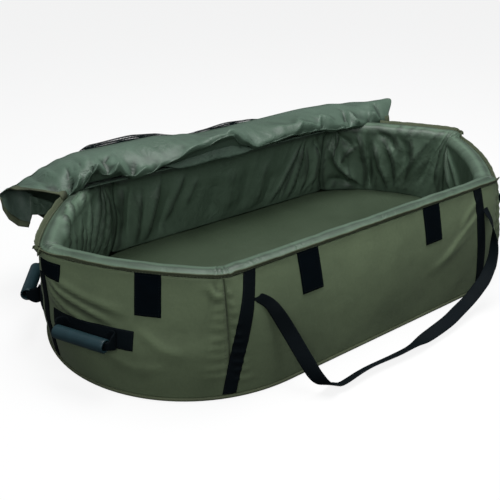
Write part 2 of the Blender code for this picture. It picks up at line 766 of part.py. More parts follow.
def build_back_carry_strap(material, collection):
    """Carry strap of the back, which hangs on edge between the back wall and the thrown-back lid."""
    axis = carry_axis_y()
    left = strap_run(CARRY_HEIGHT, RIGHT_STRAP_RIM_RUN, RIGHT_STRAP_BASE_RUN)
    right = strap_run(CARRY_HEIGHT, STRAP_RIM_RUN, STRAP_BASE_RUN)
    edge = CARRY_WIDTH / 2 + 2 * GAP
    foot = BASE_WIDTH / 2 + BACK_STRAP_OFFSET
    shares = ((0.00, 0.00), (0.00, 0.08), (0.01, 0.24), (0.05, 0.50), (0.12, 0.77), (0.23, 0.94), (0.36, 1.00))
    route = []
    for inward, downward in shares:
        out = blend_value(axis, foot, downward)
        route.append((-left + (left + right) * inward, out, blend_value(CARRY_HEIGHT, edge, downward)))
    for inward, downward in reversed(shares):
        out = blend_value(axis, foot, downward)
        route.append((right - (left + right) * inward, out, blend_value(CARRY_HEIGHT, edge, downward)))
    lean = Vector((0.0, -HEIGHT, (RIM_WIDTH - BASE_WIDTH) / 2)).normalized()
    sides = [lean] * len(route)
    build_ribbon("back_carry_strap", route, sides, CARRY_WIDTH, WEBBING, material, collection, flat=True)


def fold_edge_y(across):
    """Front edge of the folded lid at a distance from the middle, where slack lets it fall back."""
    share = smooth_step((SEAM_END_X - abs(across)) / (SEAM_END_X - RIM_STRAIGHT))
    return LID_FOLD_Y + GAP + LID_SLACK * share


def build_lid_rear(material, collection):
    """Part of the lid that stays on the back rim, sewn to it behind the fold."""
    seam = CLOTH + GAP
    sections = []
    for column in range(REAR_COLUMNS + 1):
        across = blend_value(-SEAM_END_X, SEAM_END_X, column / REAR_COLUMNS)
        front = fold_edge_y(across)
        rim = rim_depth(across) - seam
        top = max(rim - WALL + SHOULDER_RADIUS, blend_value(front, rim, 1 / 2))
        low = [
            Vector((across, front, LID_FOLD_Z - GAP - LID)),
            Vector((across, top, HEIGHT + GAP)),
            Vector((across, rim, HEIGHT - RIM_DROP / 2 + 3 * GAP)),
        ]
        high = [point + Vector((0, 0, LID)) for point in low]
        sections.append(low + list(reversed(high)))
    loft("lid_rear_panel", sections, material, collection, smooth=True)


def rim_depth(across):
    """Distance of the rim's outer edge from the mat's long axis, at a distance across from the middle."""
    low, high = 0.0, math.pi / 2
    for _ in range(RIM_TRIES):
        turn = (low + high) / 2
        if rim_quarter(turn).x < abs(across):
            low = turn
        else:
            high = turn
    return RIM_HALF if abs(across) <= RIM_STRAIGHT else -rim_quarter(low).y


def middle_point(across_share, back_share, lift):
    """Point of the lid's middle part: across from -1 to 1, back from the fold to the ridge, lift along up."""
    back_half = RIDGE_HALF_LENGTH
    front_half = LENGTH / 2
    half = blend_value(front_half, back_half, back_share)
    across = across_share * half
    front = fold_edge_y(across)
    beyond = smooth_step((abs(across) - SEAM_END_X) / (LENGTH / 2 - SEAM_END_X))
    front = front + beyond * HEM_WIDTH * 2
    depth = blend_value(front, LID_RIDGE_Y - GAP, back_share)
    plane = blend_value(LID_FOLD_Z, LID_RIDGE_Z, back_share)
    puff = LID_PUFF * math.sin(math.pi * min(1.0, back_share * 1.15)) ** 0.6
    wave = MIDDLE_FOLD * math.sin(2 * math.pi * across / MIDDLE_FOLD_PITCH) * math.sin(math.pi * back_share)
    drop = END_DROP * beyond * back_share
    curl = TIP_RISE * beyond * (1 - back_share)
    height = plane + puff + wave * (1 - beyond) - drop + curl + lift
    return Vector((across, depth, height))


def build_lid_middle(materials, collection):
    """Part of the lid that is folded back from the fold line up to the ridge, and its end hems."""
    hem_share = HEM_WIDTH / (LENGTH / 2)
    panel_share = 1 - hem_share - GAP / RIDGE_HALF_LENGTH
    sections = []
    for column in range(LID_COLUMNS + 1):
        across = (2 * column / LID_COLUMNS - 1) * panel_share
        sections.append(middle_section(across, 0.0, LID))
    loft("lid_middle_panel", sections, materials["lid"], collection, smooth=True)
    for end, sign in (("left", -1), ("right", 1)):
        hem = []
        for share in (1 - hem_share, 1.0):
            hem.append(middle_section(sign * share, -HEM_EXTRA, LID + HEM_EXTRA))
        loft(f"lid_{end}_end_hem", hem, materials["binding"], collection, smooth=True)


def middle_section(across, low, high):
    """Closed section of the lid's middle part from the fold to the ridge, between two lifts."""
    top = [middle_point(across, row / LID_ROWS, high) for row in range(LID_ROWS + 1)]
    under = [middle_point(across, row / LID_ROWS, low) for row in range(LID_ROWS + 1)]
    return top + list(reversed(under))


def flap_half(down_share):
    """Half-width of the hanging flap at a level."""
    return blend_value(RIDGE_HALF_LENGTH, HEM_HALF_LENGTH, down_share)


def flap_point(across_share, down_share, out):
    """Point of the hanging flap: across from -1 to 1, down from the ridge to the hem, out towards +Y."""
    across = across_share * flap_half(down_share)
    beyond = smooth_step((abs(across) - SEAM_END_X) / (LENGTH / 2 - SEAM_END_X))
    ridge = LID_RIDGE_Z - END_DROP * beyond
    height = blend_value(ridge, HEM_Z, down_share)
    depth = blend_value(LID_RIDGE_Y + GAP, HEM_Y, down_share)
    wave = FLAP_FOLD * math.sin(2 * math.pi * across / FLAP_FOLD_PITCH) * down_share
    below = down_share * (LID_RIDGE_Z - HEM_Z) - MESH_RISE_TOP
    bulge = math.sin(math.pi * min(1.0, max(0.0, below / MESH_RISE_DROP)))
    bulge *= smooth_step(2 * (1 - abs(across - MESH_RISE_X) / MESH_RISE_HALF))
    return Vector((across, depth + wave + MESH_OUT * bulge + out, height + MESH_RISE * bulge))


def flap_ring(side_inset, top_inset, hem_inset):
    """Shares of points round the flap, inset from its ends, its ridge and its lowest edge."""
    drop = LID_RIDGE_Z - HEM_Z
    high = top_inset / drop
    low = 1 - hem_inset / drop
    ring = []
    for start, end, steps in (((-1, 0), (1, 0), FLAP_COLUMNS), ((1, 0), (1, 1), FLAP_ROWS),
                              ((1, 1), (-1, 1), FLAP_COLUMNS), ((-1, 1), (-1, 0), FLAP_ROWS)):
        for step in range(steps):
            across = blend_value(start[0], end[0], step / steps)
            down = blend_value(high, low, blend_value(start[1], end[1], step / steps))
            ring.append((across * (1 - side_inset / flap_half(down)), down))
    return ring


def flap_strip(outer, inner, front, back):
    """Sections between two rings of the flap, with a middle point, from one depth to another."""
    sections = []
    for (far_across, far_down), (near_across, near_down) in zip(outer, inner):
        middle = ((far_across + near_across) / 2, (far_down + near_down) / 2)
        places = ((far_across, far_down), middle, (near_across, near_down))
        near_face = [flap_point(across, down, front) for across, down in places]
        far_face = [flap_point(across, down, back) for across, down in places]
        sections.append(near_face + list(reversed(far_face)))
    return sections


def build_lid_flap(materials, collection):
    """Part of the lid that hangs behind the back wall: border, mesh window, hem and hook patches."""
    margin = HEM_WIDTH + GAP
    outer = flap_ring(margin, 0.0, margin)
    inner = flap_ring(WINDOW_SIDE_MARGIN, WINDOW_TOP_MARGIN, WINDOW_HEM_MARGIN)
    border = flap_strip(outer, inner, 0.0, LID)
    loft("lid_flap_border", border, materials["lid"], collection, ring=True, smooth=True)
    edge = flap_ring(0.0, 0.0, 0.0)
    inside = flap_ring(HEM_WIDTH, 0.0, HEM_WIDTH)
    edge = edge[FLAP_COLUMNS:] + edge[:1]
    inside = inside[FLAP_COLUMNS:] + inside[:1]
    hem = flap_strip(edge, inside, -HEM_EXTRA, LID + HEM_EXTRA)
    loft("lid_flap_hem", hem, materials["binding"], collection, smooth=True)
    drop = LID_RIDGE_Z - HEM_Z
    high = (WINDOW_TOP_MARGIN + GAP) / drop
    low = 1 - (WINDOW_HEM_MARGIN + GAP) / drop
    window = []
    for column in range(FLAP_COLUMNS + 1):
        side = 2 * column / FLAP_COLUMNS - 1
        front = []
        back = []
        for row in range(FLAP_ROWS + 1):
            down = blend_value(high, low, row / FLAP_ROWS)
            share = side * (1 - (WINDOW_SIDE_MARGIN + GAP) / flap_half(down))
            front.append(flap_point(share, down, (LID - MESH) / 2))
            back.append(flap_point(share, down, (LID + MESH) / 2))
        window.append(front + list(reversed(back)))
    loft("lid_mesh_window", window, materials["mesh"], collection, smooth=True)
    build_hook_patches(materials["hook"], collection)


def build_hook_patches(material, collection):
    """Hook patches on the lid's underside, just inside its hem."""
    drop = LID_RIDGE_Z - HEM_Z
    low = 1 - (HEM_WIDTH + 2 * GAP) / drop
    high = low - PATCH_WIDTH / drop
    half = PATCH_WIDTH / 2
    places = (("left", -LEFT_PATCH_RUN), ("right", RIGHT_PATCH_RUN))
    for end, run in places:
        columns = []
        for across in (run - half, run, run + half):
            columns.append([(across, down) for down in (low, (low + high) / 2, high)])
        build_hook_patch(f"lid_front_{end}_hook_patch", columns, material, collection)
    low = HOOK_SHARE
    high = low - PATCH_WIDTH / drop
    for end, sign in (("left", -1), ("right", 1)):
        columns = []
        for inward in (0.0, half, PATCH_WIDTH):
            column = []
            for down in (low, (low + high) / 2, high):
                column.append((sign * (flap_half(down) - HEM_WIDTH - 2 * GAP - inward), down))
            columns.append(column)
        build_hook_patch(f"lid_{end}_corner_hook_patch", columns, material, collection)


def build_hook_patch(name, columns, material, collection):
    """Hook patch through upright columns of (across, down share) places on the flap."""
    sections = []
    for column in columns:
        near = [flap_point(across / flap_half(down), down, LID + GAP) for across, down in column]
        far = [flap_point(across / flap_half(down), down, LID + GAP + PATCH) for across, down in column]
        sections.append(near + list(reversed(far)))
    loft(name, sections, material, collection)


def main():
    """Clear the scene and build the mat."""
    for item in list(bpy.data.objects):
        bpy.data.objects.remove(item, do_unlink=True)
    collection = bpy.data.collections.new("unhooking_mat")
    bpy.context.scene.collection.children.link(collection)
    materials = {
        "cover": make_material("olive_nylon", (0.072, 0.088, 0.042), 0.72),
        "lining": make_material("green_lining", (0.050, 0.080, 0.050), 0.60),
        "floor": make_material("floor_lining", (0.062, 0.082, 0.050), 0.60),
        "lid": make_material("lid_nylon", (0.070, 0.110, 0.075), 0.60),
        "ground": make_material("ground_cloth", (0.030, 0.035, 0.025), 0.80),
        "foam": make_material("closed_cell_foam", (0.120, 0.120, 0.120), 0.90),
        "binding": make_material("olive_binding", (0.095, 0.092, 0.050), 0.80),
        "webbing": make_material("black_webbing", (0.010, 0.011, 0.012), 0.75),
        "loop": make_material("black_loop_tape", (0.008, 0.010, 0.013), 0.90),
        "hook": make_material("black_hook_tape", (0.010, 0.010, 0.012), 0.60),
        "grip": make_material("slate_rubber", (0.030, 0.050, 0.070), 0.45),
        "mesh": make_material("black_mesh", (0.008, 0.009, 0.010), 0.60),
    }
    build_floor(materials, collection)
    build_walls(materials, collection)
    build_webbing(materials, collection)
    build_loop_patches(materials, collection)
    for end, sign in (("left", -1), ("right", 1)):
        for face, facing in (("front", 1), ("back", -1)):
            build_handle(end, sign, face, facing, materials, collection)
    build_front_carry_strap(materials["webbing"], collection)
    build_back_carry_strap(materials["webbing"], collection)
    build_lid_rear(materials["lid"], collection)
    build_lid_middle(materials, collection)
    build_lid_flap(materials, collection)


main()
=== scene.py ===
"""Looks of a padded unhooking mat: coated cloth over foam walls, a thrown-back lid, webbing and tube grips.

Lengths are metres. +X runs along the mat, +Y points to the long side the lid is sewn to, and +Z is up. A
place on the wall is a run, measured round the mat at half height from the middle of the front, and a height.
"""

from __future__ import annotations

import logging
import math
from dataclasses import dataclass, field
from enum import Enum
from typing import Callable, Sequence, TypeVar

import bmesh
import bpy
import numpy as np
from mathutils import Matrix, Vector, noise

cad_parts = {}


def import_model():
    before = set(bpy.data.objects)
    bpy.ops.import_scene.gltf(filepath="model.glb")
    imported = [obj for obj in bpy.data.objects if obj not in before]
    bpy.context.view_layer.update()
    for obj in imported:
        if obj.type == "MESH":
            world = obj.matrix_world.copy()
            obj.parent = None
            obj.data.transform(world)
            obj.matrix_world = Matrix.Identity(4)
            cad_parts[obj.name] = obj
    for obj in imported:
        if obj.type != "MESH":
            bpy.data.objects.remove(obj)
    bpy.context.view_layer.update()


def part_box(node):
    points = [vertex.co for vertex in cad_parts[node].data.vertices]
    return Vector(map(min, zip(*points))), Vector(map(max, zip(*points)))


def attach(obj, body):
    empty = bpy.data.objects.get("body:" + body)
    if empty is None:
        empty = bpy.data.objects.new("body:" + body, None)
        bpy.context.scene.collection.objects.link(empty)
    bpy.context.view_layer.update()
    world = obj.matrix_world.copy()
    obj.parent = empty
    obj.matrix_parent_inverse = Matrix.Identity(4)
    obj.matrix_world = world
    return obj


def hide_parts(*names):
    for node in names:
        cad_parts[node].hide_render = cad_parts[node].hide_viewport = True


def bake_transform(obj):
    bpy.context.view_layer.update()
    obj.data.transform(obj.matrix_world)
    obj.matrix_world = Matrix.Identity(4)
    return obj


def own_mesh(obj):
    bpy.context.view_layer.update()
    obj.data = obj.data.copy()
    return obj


LOG = logging.getLogger("unhooking_mat")
Place = Callable[[float, float], Vector]
Coordinate = TypeVar("Coordinate", float, Vector)
Node = bpy.types.Node
Tree = bpy.types.NodeTree
Source = tuple[Node, str]
Row = Sequence[tuple[Vector, Vector]]
Edge = tuple[float, float, float]

UP = Vector((0, 0, 1))
TAPE_WIDTH = 0.050
BAND_HEIGHT = 0.117
BAND_LENGTH = 0.186
BAND_FROM_TIP = 0.030
CARRY_AXIS = 0.30332
CARRY_HEIGHT = 0.210
CLOTH = 0.0012
WELD = 0.00001


def linear(hex_colour: str) -> tuple[float, float, float, float]:
    """Turn an sRGB hex colour into linear light.

    Args:
        hex_colour: six hex digits after a hash.

    Returns:
        Red, green, blue and an alpha of 1.
    """
    values = [int(hex_colour[index:index + 2], 16) / 255 for index in (1, 3, 5)]
    red, green, blue = (v / 12.92 if v <= 0.04045 else ((v + 0.055) / 1.055) ** 2.4 for v in values)
    return (red, green, blue, 1.0)


def mix(low: float, high: float, share: float) -> float:
    """Value that lies share of the way from low to high."""
    return low + (high - low) * share


def ease(share: float) -> float:
    """Go from 0 to 1 with level ends."""
    share = min(1.0, max(0.0, share))
    return share * share * (3 - 2 * share)


def window(value: float, low: float, high: float, soft: float, soft_high: float = 0.0) -> float:
    """Rise from 0 at low over soft, and fall back to 0 at high over soft_high, or soft."""
    return ease((value - low) / soft) * ease((high - value) / (soft_high or soft))


def hump(offset: float, width: float) -> float:
    """Smooth bump of height 1 at no offset."""
    return math.exp(-((offset / width) ** 2))


def ripple(x: float, y: float, seed: float, octaves: int = 3) -> float:
    """Smooth uneven field between about -1 and 1, at x and y in wavelengths."""
    return noise.fractal(Vector((x, y, seed)), 0.9, 2.0, octaves)


def bow(share: float) -> float:
    """Half a sine wave: 0 at both ends and 1 in the middle."""
    return math.sin(math.pi * share)


def curve(before: Coordinate, start: Coordinate, end: Coordinate, after: Coordinate, t: float) -> Coordinate:
    """Follow a smooth curve between two of its points.

    Args:
        before: the point before start.
        start: where the stretch starts.
        end: where it ends.
        after: the point after end.
        t: share of the way, from 0 to 1.

    Returns:
        The place.
    """
    spot = start * 2 + (end - before) * t
    spot += (before * 2 - start * 5 + end * 4 - after) * t ** 2
    spot += (start * 3 - before - end * 3 + after) * t ** 3
    return spot / 2


def square_to(way: Vector, guide: Vector) -> Vector:
    """Direction of the part of guide that is square to way."""
    return (guide - way * guide.dot(way)).normalized()


def headings(line: Sequence[Vector]) -> list[Vector]:
    """Direction of a line at each of its points."""
    return [(after - before).normalized() for before, after in zip([line[0], *line], [*line[1:], line[-1]])]


def grouped(size: int, per: int, *numbers: float) -> list[tuple[float, ...]]:
    """Cut a row of numbers into groups of size, each number divided by per."""
    return [tuple(number / per for number in numbers[at:at + size]) for at in range(0, len(numbers), size)]


class Body(Enum):
    """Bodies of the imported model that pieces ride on."""

    TUB = "tub"
    LID_MIDDLE = "lid_middle"
    LID_FLAP = "lid_flap"
    FRONT_STRAP = "front_carry_strap"
    BACK_STRAP = "back_carry_strap"


class Side(Enum):
    """Sides of the mat that pieces are named after."""

    @property
    def label(self) -> str:
        """The side's name as the pieces have it."""
        return self.name.lower()


class End(Side):
    """Ends of the mat, with the sign of X there."""

    LEFT = -1
    RIGHT = 1


class Face(Side):
    """Long faces of the mat: FRONT is towards -Y."""

    FRONT = 1
    BACK = -1


def add_node(tree: Tree, kind: str, links: dict[str, object], **settings: object) -> Node:
    """Add a shader node with its settings, values and links.

    Args:
        tree: node tree of a material or world.
        kind: the node's class without its ShaderNode prefix.
        links: input name, or its number among the inputs, to a value or to a (node, output name) pair.
        settings: the node's own properties.

    Returns:
        The new node.
    """
    node = tree.nodes.new("ShaderNode" + kind)
    for name, value in settings.items():
        setattr(node, name, value)
    for name, value in links.items():
        socket = node.inputs[int(name)] if name.isdigit() else node.inputs[name]
        if isinstance(value, tuple) and isinstance(value[0], bpy.types.Node):
            tree.links.new(value[0].outputs[value[1]], socket)
        else:
            socket.default_value = value
    return node


def remap(tree: Tree, source: Source, low: float, high: float, to_low: float = 0.0,
          to_high: float = 1.0) -> Source:
    """Stretch a value that runs from low to high over to_low to to_high, and cut it off there."""
    links = {"Value": source, "From Min": low, "From Max": high, "To Min": to_low, "To Max": to_high}
    return add_node(tree, "MapRange", links), "Result"


def reckon(tree: Tree, operation: str, first: Source, second: Source | float = 0.0,
           cut: bool = False) -> Source:
    """Join two values by a Math node, cut off to 0 and 1 if asked."""
    return add_node(tree, "Math", {"0": first, "1": second}, operation=operation, use_clamp=cut), "Value"


def patches(tree: Tree, place: Node, scale: float, detail: float, **more: float) -> Source:
    """Add noise over the object.

    Args:
        tree: the material's node tree.
        place: its texture coordinates.
        scale: patches per metre.
        detail: how many finer layers it has.
        more: its roughness or distortion.

    Returns:
        Its value.
    """
    links = {"Vector": (place, "Object"), "Scale": scale, "Detail": detail}
    links.update({name.title(): value for name, value in more.items()})
    return add_node(tree, "TexNoise", links), "Fac"


def blended(tree: Tree, share: Source, first: str, second: str) -> Node:
    """Mix two hex colours by a share."""
    return add_node(tree, "Mix", {"Factor": share, "6": linear(first), "7": linear(second)}, data_type="RGBA")


def raised(tree: Tree, height: Source, strength: float, distance: float, **under: Source) -> Source:
    """Add a bump of a strength and a distance, on the one given as Normal if any."""
    links = {"Height": height, "Strength": strength, "Distance": distance, **under}
    return add_node(tree, "Bump", links), "Normal"


def new_material(name: str, values: dict[str, float]) -> tuple[bpy.types.Material, Tree, Node]:
    """Start a node material.

    Args:
        name: the material's name.
        values: what its Principled shader's inputs are set to.

    Returns:
        The material, its node tree and that shader.
    """
    material = bpy.data.materials.new(name)
    material.use_nodes = True
    shader = material.node_tree.nodes["Principled BSDF"]
    for key, value in values.items():
        shader.inputs[key].default_value = value
    return material, material.node_tree, shader


@dataclass(frozen=True)
class ClothFinish:
    """A woven or coated cloth.

    The weave follows the piece's UV map, which is in metres. Real threads, about 0.4 mm apart, are too fine
    to show from across the mat, so they are drawn as coarse as they need to be to show.
    """

    name: str
    colour: str
    shade: str
    slot: str
    roughness: float = 0.6
    thread: float = 0.0016
    weave_depth: float = 0.00012
    crumple: float = 0.0006
    crumple_size: float = 0.030
    sheen: float = 0.0
    coat: float = 0.0
    rib: float = 0.0
    shine: float = 0.35
    wrinkle: float = 0.0
    wrinkle_size: float = 0.060
    # painted shade low on the wall and painted light high on it, by height
    bottom_shade: float = 1.0
    top_light: float = 1.0
    # painted shade: how dark the colour is made at the bottom of a fold
    crease_shade: float = 0.42

    def build(self) -> bpy.types.Material:
        """Make a node material for this cloth."""
        material, tree, shader = new_material(self.name, {
            "Roughness": self.roughness, "Sheen Weight": self.sheen, "Sheen Roughness": 0.5,
            "Coat Weight": self.coat, "Coat Roughness": 0.38, "Specular IOR Level": self.shine})
        place = add_node(tree, "TexCoord", {})
        patch = remap(tree, patches(tree, place, 5.0, 4.0), 0.32, 0.68)
        speck = remap(tree, patches(tree, place, 160.0, 2.0), 0.3, 0.7, -0.12, 0.12)
        colour = blended(tree, reckon(tree, "ADD", patch, speck, True), self.colour, self.shade)
        # the colour is multiplied by painted shade in folds and low down, and by painted highlights on crests
        # and high up
        colour_with_painted_light = add_node(tree, "VectorMath", {"0": (colour, "Result"), "Scale": self.painted_light(tree, place)},
                        operation="SCALE")
        tree.links.new(colour_with_painted_light.outputs["Vector"], shader.inputs["Base Color"])
        threads = []
        for way, pitch in (("X", self.thread), ("Y", self.rib or self.thread)):
            links = {"Vector": (place, "UV"), "Scale": 0.314 / pitch, "Distortion": 0.6, "Detail": 1.0}
            threads.append((add_node(tree, "TexWave", links, bands_direction=way), "Fac"))
        weave = reckon(tree, "MAXIMUM" if self.rib else "ADD", *threads)
        crumple = patches(tree, place, 1.0 / self.crumple_size, 5.0, roughness=0.55, distortion=0.7)
        coarse = raised(tree, crumple, 1.0, self.crumple)
        if self.wrinkle:
            coarse = self.wrinkled(tree, place, coarse)
        fine, normal = raised(tree, weave, 0.7, self.weave_depth, Normal=coarse)
        tree.links.new(fine.outputs[normal], shader.inputs["Normal"])
        return material

    def painted_light(self, tree: Tree, place: Node) -> Source:
        """Paint shade into the bottoms of the folds and a highlight on their crests, and paint the colour
        darker low down and lighter high up, as light and shade would fall there.

        Args:
            tree: the material's node tree.
            place: its texture coordinates.

        Returns:
            What multiplies the colour.
        """
        height = add_node(tree, "SeparateXYZ", {"Vector": (place, "Object")})
        # painted shade low down and painted light high up: the colour runs darker towards the bottom
        height_shade = remap(tree, (height, "Z"), 0.0, 0.25, self.bottom_shade, self.top_light)
        # painted shade in the bottoms of folds and a painted highlight on their crests
        fold = (add_node(tree, "Attribute", {}, attribute_name="crease"), "Fac")
        valley_shade = remap(tree, fold, 0.0, 1.0, 1.0, self.crease_shade)
        crest = remap(tree, fold, -1.0, 0.0, 1.16, 1.0)
        return reckon(tree, "MULTIPLY", reckon(tree, "MULTIPLY", valley_shade, crest), height_shade)

    def wrinkled(self, tree: Tree, place: Node, under: Source) -> Source:
        """Add sharp-crested wrinkles, the finest folds of thin cloth, in some places and not in others.

        Args:
            tree: the material's node tree.
            place: its texture coordinates.
            under: the bump that they lie on.

        Returns:
            The new bump.
        """
        waves = patches(tree, place, 1.0 / self.wrinkle_size, 2.5, roughness=0.5, distortion=1.4)
        level = reckon(tree, "ABSOLUTE", reckon(tree, "SUBTRACT", waves, 0.5))
        sharp = remap(tree, level, 0.0, 0.11, 1.0, 0.0)
        some = remap(tree, patches(tree, place, 7.0, 1.0), 0.42, 0.62)
        return raised(tree, reckon(tree, "MULTIPLY", sharp, some), 1.0, self.wrinkle, Normal=under)


@dataclass(frozen=True)
class NapFinish:
    """A surface of fine loops, hooks or foam cells, drawn by noise rather than a weave."""

    name: str
    colour: str
    shade: str
    slot: str
    roughness: float = 0.9
    cell: float = 0.0014
    depth: float = 0.0004
    shine: float = 0.5

    def build(self) -> bpy.types.Material:
        """Make a node material for this surface."""
        material, tree, shader = new_material(self.name, {
            "Roughness": self.roughness, "Specular IOR Level": self.shine})
        place = add_node(tree, "TexCoord", {})
        cells = patches(tree, place, 1.0 / self.cell, 3.0)
        share = reckon(tree, "MULTIPLY", cells, patches(tree, place, 30.0, 3.0))
        colour = blended(tree, remap(tree, share, 0.12, 0.42), self.colour, self.shade)
        tree.links.new(colour.outputs["Result"], shader.inputs["Base Color"])
        bump, normal = raised(tree, cells, 0.8, self.depth)
        tree.links.new(bump.outputs[normal], shader.inputs["Normal"])
        return material


def camera_only(tree: Tree, lit: Source, seen: Source, output: str) -> None:
    """Show one shader to the camera and let another one do the lighting.

    Args:
        tree: the node tree, which has no nodes but theirs.
        lit: shader for the light.
        seen: shader for the camera.
        output: kind of the output node.
    """
    paths = add_node(tree, "LightPath", {})
    both = add_node(tree, "MixShader", {"0": (paths, "Is Camera Ray"), "1": lit, "2": seen})
    add_node(tree, output, {"Surface": (both, "Shader")})


class Finishes:
    """Every finish on the mat, made once."""

    def __init__(self) -> None:
        """Make all the materials."""
        finishes = (
            # coated polyester of the outside: dull olive with a faint bloom, with painted shade towards the
            # bottom and painted light towards the top
            ClothFinish("coated_polyester_outer", "#5f6d52", "#525f47", "olive_nylon", roughness=0.62,
                        crumple=0.0011, crumple_size=0.040, sheen=0.05, shine=0.30, bottom_shade=0.78,
                        top_light=1.32),
            # proofed nylon lining: smoother and bluer, with a soft shine on its folds
            ClothFinish("proofed_nylon_lining", "#586c5b", "#4b5e4e", "green_lining", roughness=0.50,
                        crumple=0.0014, crumple_size=0.034, coat=0.06, weave_depth=0.00005, wrinkle=0.0007),
            # proofed nylon of the floor: a darker copy of the lining cloth, painted darker to stand in for
            # the shade inside the walls
            ClothFinish("proofed_nylon_floor_shaded", "#3b4837", "#33402f", "floor_lining", roughness=0.55,
                        crumple=0.0014, crumple_size=0.060, coat=0.03, weave_depth=0.00005, wrinkle=0.0004),
            ClothFinish("proofed_nylon_lid", "#4a5d50", "#3f5144", "lid_nylon", roughness=0.52,
                        crumple=0.0013, crumple_size=0.030, coat=0.05, weave_depth=0.00005, wrinkle=0.0010,
                        wrinkle_size=0.045),
            # the same cloth seen from its coated back, painted lighter than the lid cloth to stand in for
            # light on the curled corner, which lies in shade
            ClothFinish("proofed_nylon_lid_back", "#52655a", "#43534a", "lid_nylon", roughness=0.6,
                        crumple=0.0018, crumple_size=0.022, weave_depth=0.00005, wrinkle=0.0014,
                        wrinkle_size=0.030),
            ClothFinish("proofed_base_cloth", "#30362a", "#282d24", "ground_cloth", roughness=0.7),
            # woven edging tape: ribbed across, browner than the cloth
            ClothFinish("woven_edging_tape", "#4d553f", "#414835", "olive_binding", roughness=0.8,
                        thread=0.0012, rib=0.0024, weave_depth=0.00025, crumple_size=0.02),
            # polypropylene webbing: black with a blue cast, fine ribs
            ClothFinish("polypropylene_webbing", "#050e13", "#030a0e", "black_webbing", roughness=0.7,
                        shine=0.10, thread=0.0022, rib=0.0018, weave_depth=0.00035, crumple=0.0003),
            NapFinish("loop_tape", "#020a10", "#01060a", "black_loop_tape", shine=0.06),
            NapFinish("hook_tape", "#10141a", "#07090c", "black_hook_tape", roughness=0.6, cell=0.0016,
                      depth=0.0006),
            # cellular rubber tube: slate, finely pitted, a soft band of light along it
            NapFinish("cellular_rubber_grip", "#20373d", "#16282d", "slate_rubber", roughness=0.42,
                      cell=0.0009, depth=0.00012, shine=0.30),
            NapFinish("knitted_polyester_mesh", "#10191a", "#090e0f", "black_mesh", cell=0.002, shine=0.02),
            NapFinish("polyester_thread", "#6c7560", "#565f4c", "olive_binding", roughness=0.6, cell=0.002),
            NapFinish("black_thread", "#10191d", "#0a1013", "black_webbing", roughness=0.7, cell=0.002,
                      shine=0.15),
        )
        self.slots: dict[str, str] = {item.name: item.slot for item in finishes}
        self.materials: dict[str, bpy.types.Material] = {item.name: item.build() for item in finishes}

    def dress(self, piece: bpy.types.Object, name: str, body: Body | str, *nodes: str) -> bpy.types.Object:
        """Give a piece its finish, its body and the nodes it stands for.

        Args:
            piece: the new object.
            name: which finish.
            body: the body it rides on, or nothing for a piece that bends between two.
            nodes: CAD nodes that it replaces.

        Returns:
            The same piece.
        """
        body = body.value if isinstance(body, Body) else body
        piece.data.materials.clear()
        piece.data.materials.append(self.materials[name])
        if body:
            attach(piece, body)
        if nodes:
            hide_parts(*nodes)
        LOG.info("%s in %s on %s", piece.name, name, body or "two bodies")
        return piece

    def sew(self, name: str, thread: str, body: Body, rows: Sequence[Row], *sizes: float) -> None:
        """Lay rows of stitches in a thread; sizes are their pitch, length and thickness, if not the usual."""
        self.dress(stitch_rows(name, rows, *sizes), thread, body)


def finish_mesh(name: str, shape: bmesh.types.BMesh) -> bpy.types.Object:
    """Turn a bmesh into a smooth object at the origin.

    Args:
        name: the object's name.
        shape: the bmesh, which is freed.

    Returns:
        The object, linked to the scene.
    """
    mesh = bpy.data.meshes.new(name)
    shape.to_mesh(mesh)
    shape.free()
    mesh.shade_smooth()
    piece = bpy.data.objects.new(name, mesh)
    bpy.context.scene.collection.objects.link(piece)
    return piece


def mark_creases(piece: bpy.types.Object, facing: float, depth: float = 0.0011, passes: int = 6) -> None:
    """Store how deep each point lies in a fold, as an attribute from -1 to 1, for the finish to paint shade
    into the folds and a highlight on their crests.

    Args:
        piece: a sheet of cloth.
        facing: 1 if its faces point to the side that shows, -1 if away from it.
        depth: depth of a fold that counts as full, in metres.
        passes: how many times the sheet is evened out to find what lies below its surroundings.
    """
    mesh = piece.data
    count = len(mesh.vertices)
    spots = np.array([vertex.co for vertex in mesh.vertices], float)
    normals = np.array([vertex.normal for vertex in mesh.vertices], float)
    edges = np.array([edge.vertices for edge in mesh.edges], int)
    shares = np.bincount(edges.ravel(), minlength=count)[:, None]
    even = spots.copy()
    for _ in range(passes):
        total = np.zeros_like(even)
        for axis in range(3):
            total[:, axis] += np.bincount(edges[:, 0], even[edges[:, 1], axis], count)
            total[:, axis] += np.bincount(edges[:, 1], even[edges[:, 0], axis], count)
        even = (even + total / shares) / 2
    below = ((even - spots) * normals).sum(axis=1) * facing / depth
    layer = mesh.attributes.new("crease", "FLOAT", "POINT")
    layer.data.foreach_set("value", np.clip(below, -1.0, 1.0).astype(np.float32))


def thicken(piece: bpy.types.Object, thickness: float, offset: float) -> None:
    """Give a sheet a thickness.

    Args:
        piece: the sheet.
        thickness: its thickness.
        offset: side the thickness goes to, from -1 to 1.
    """
    solid = piece.modifiers.new("thickness", "SOLIDIFY")
    solid.thickness = thickness
    solid.offset = offset


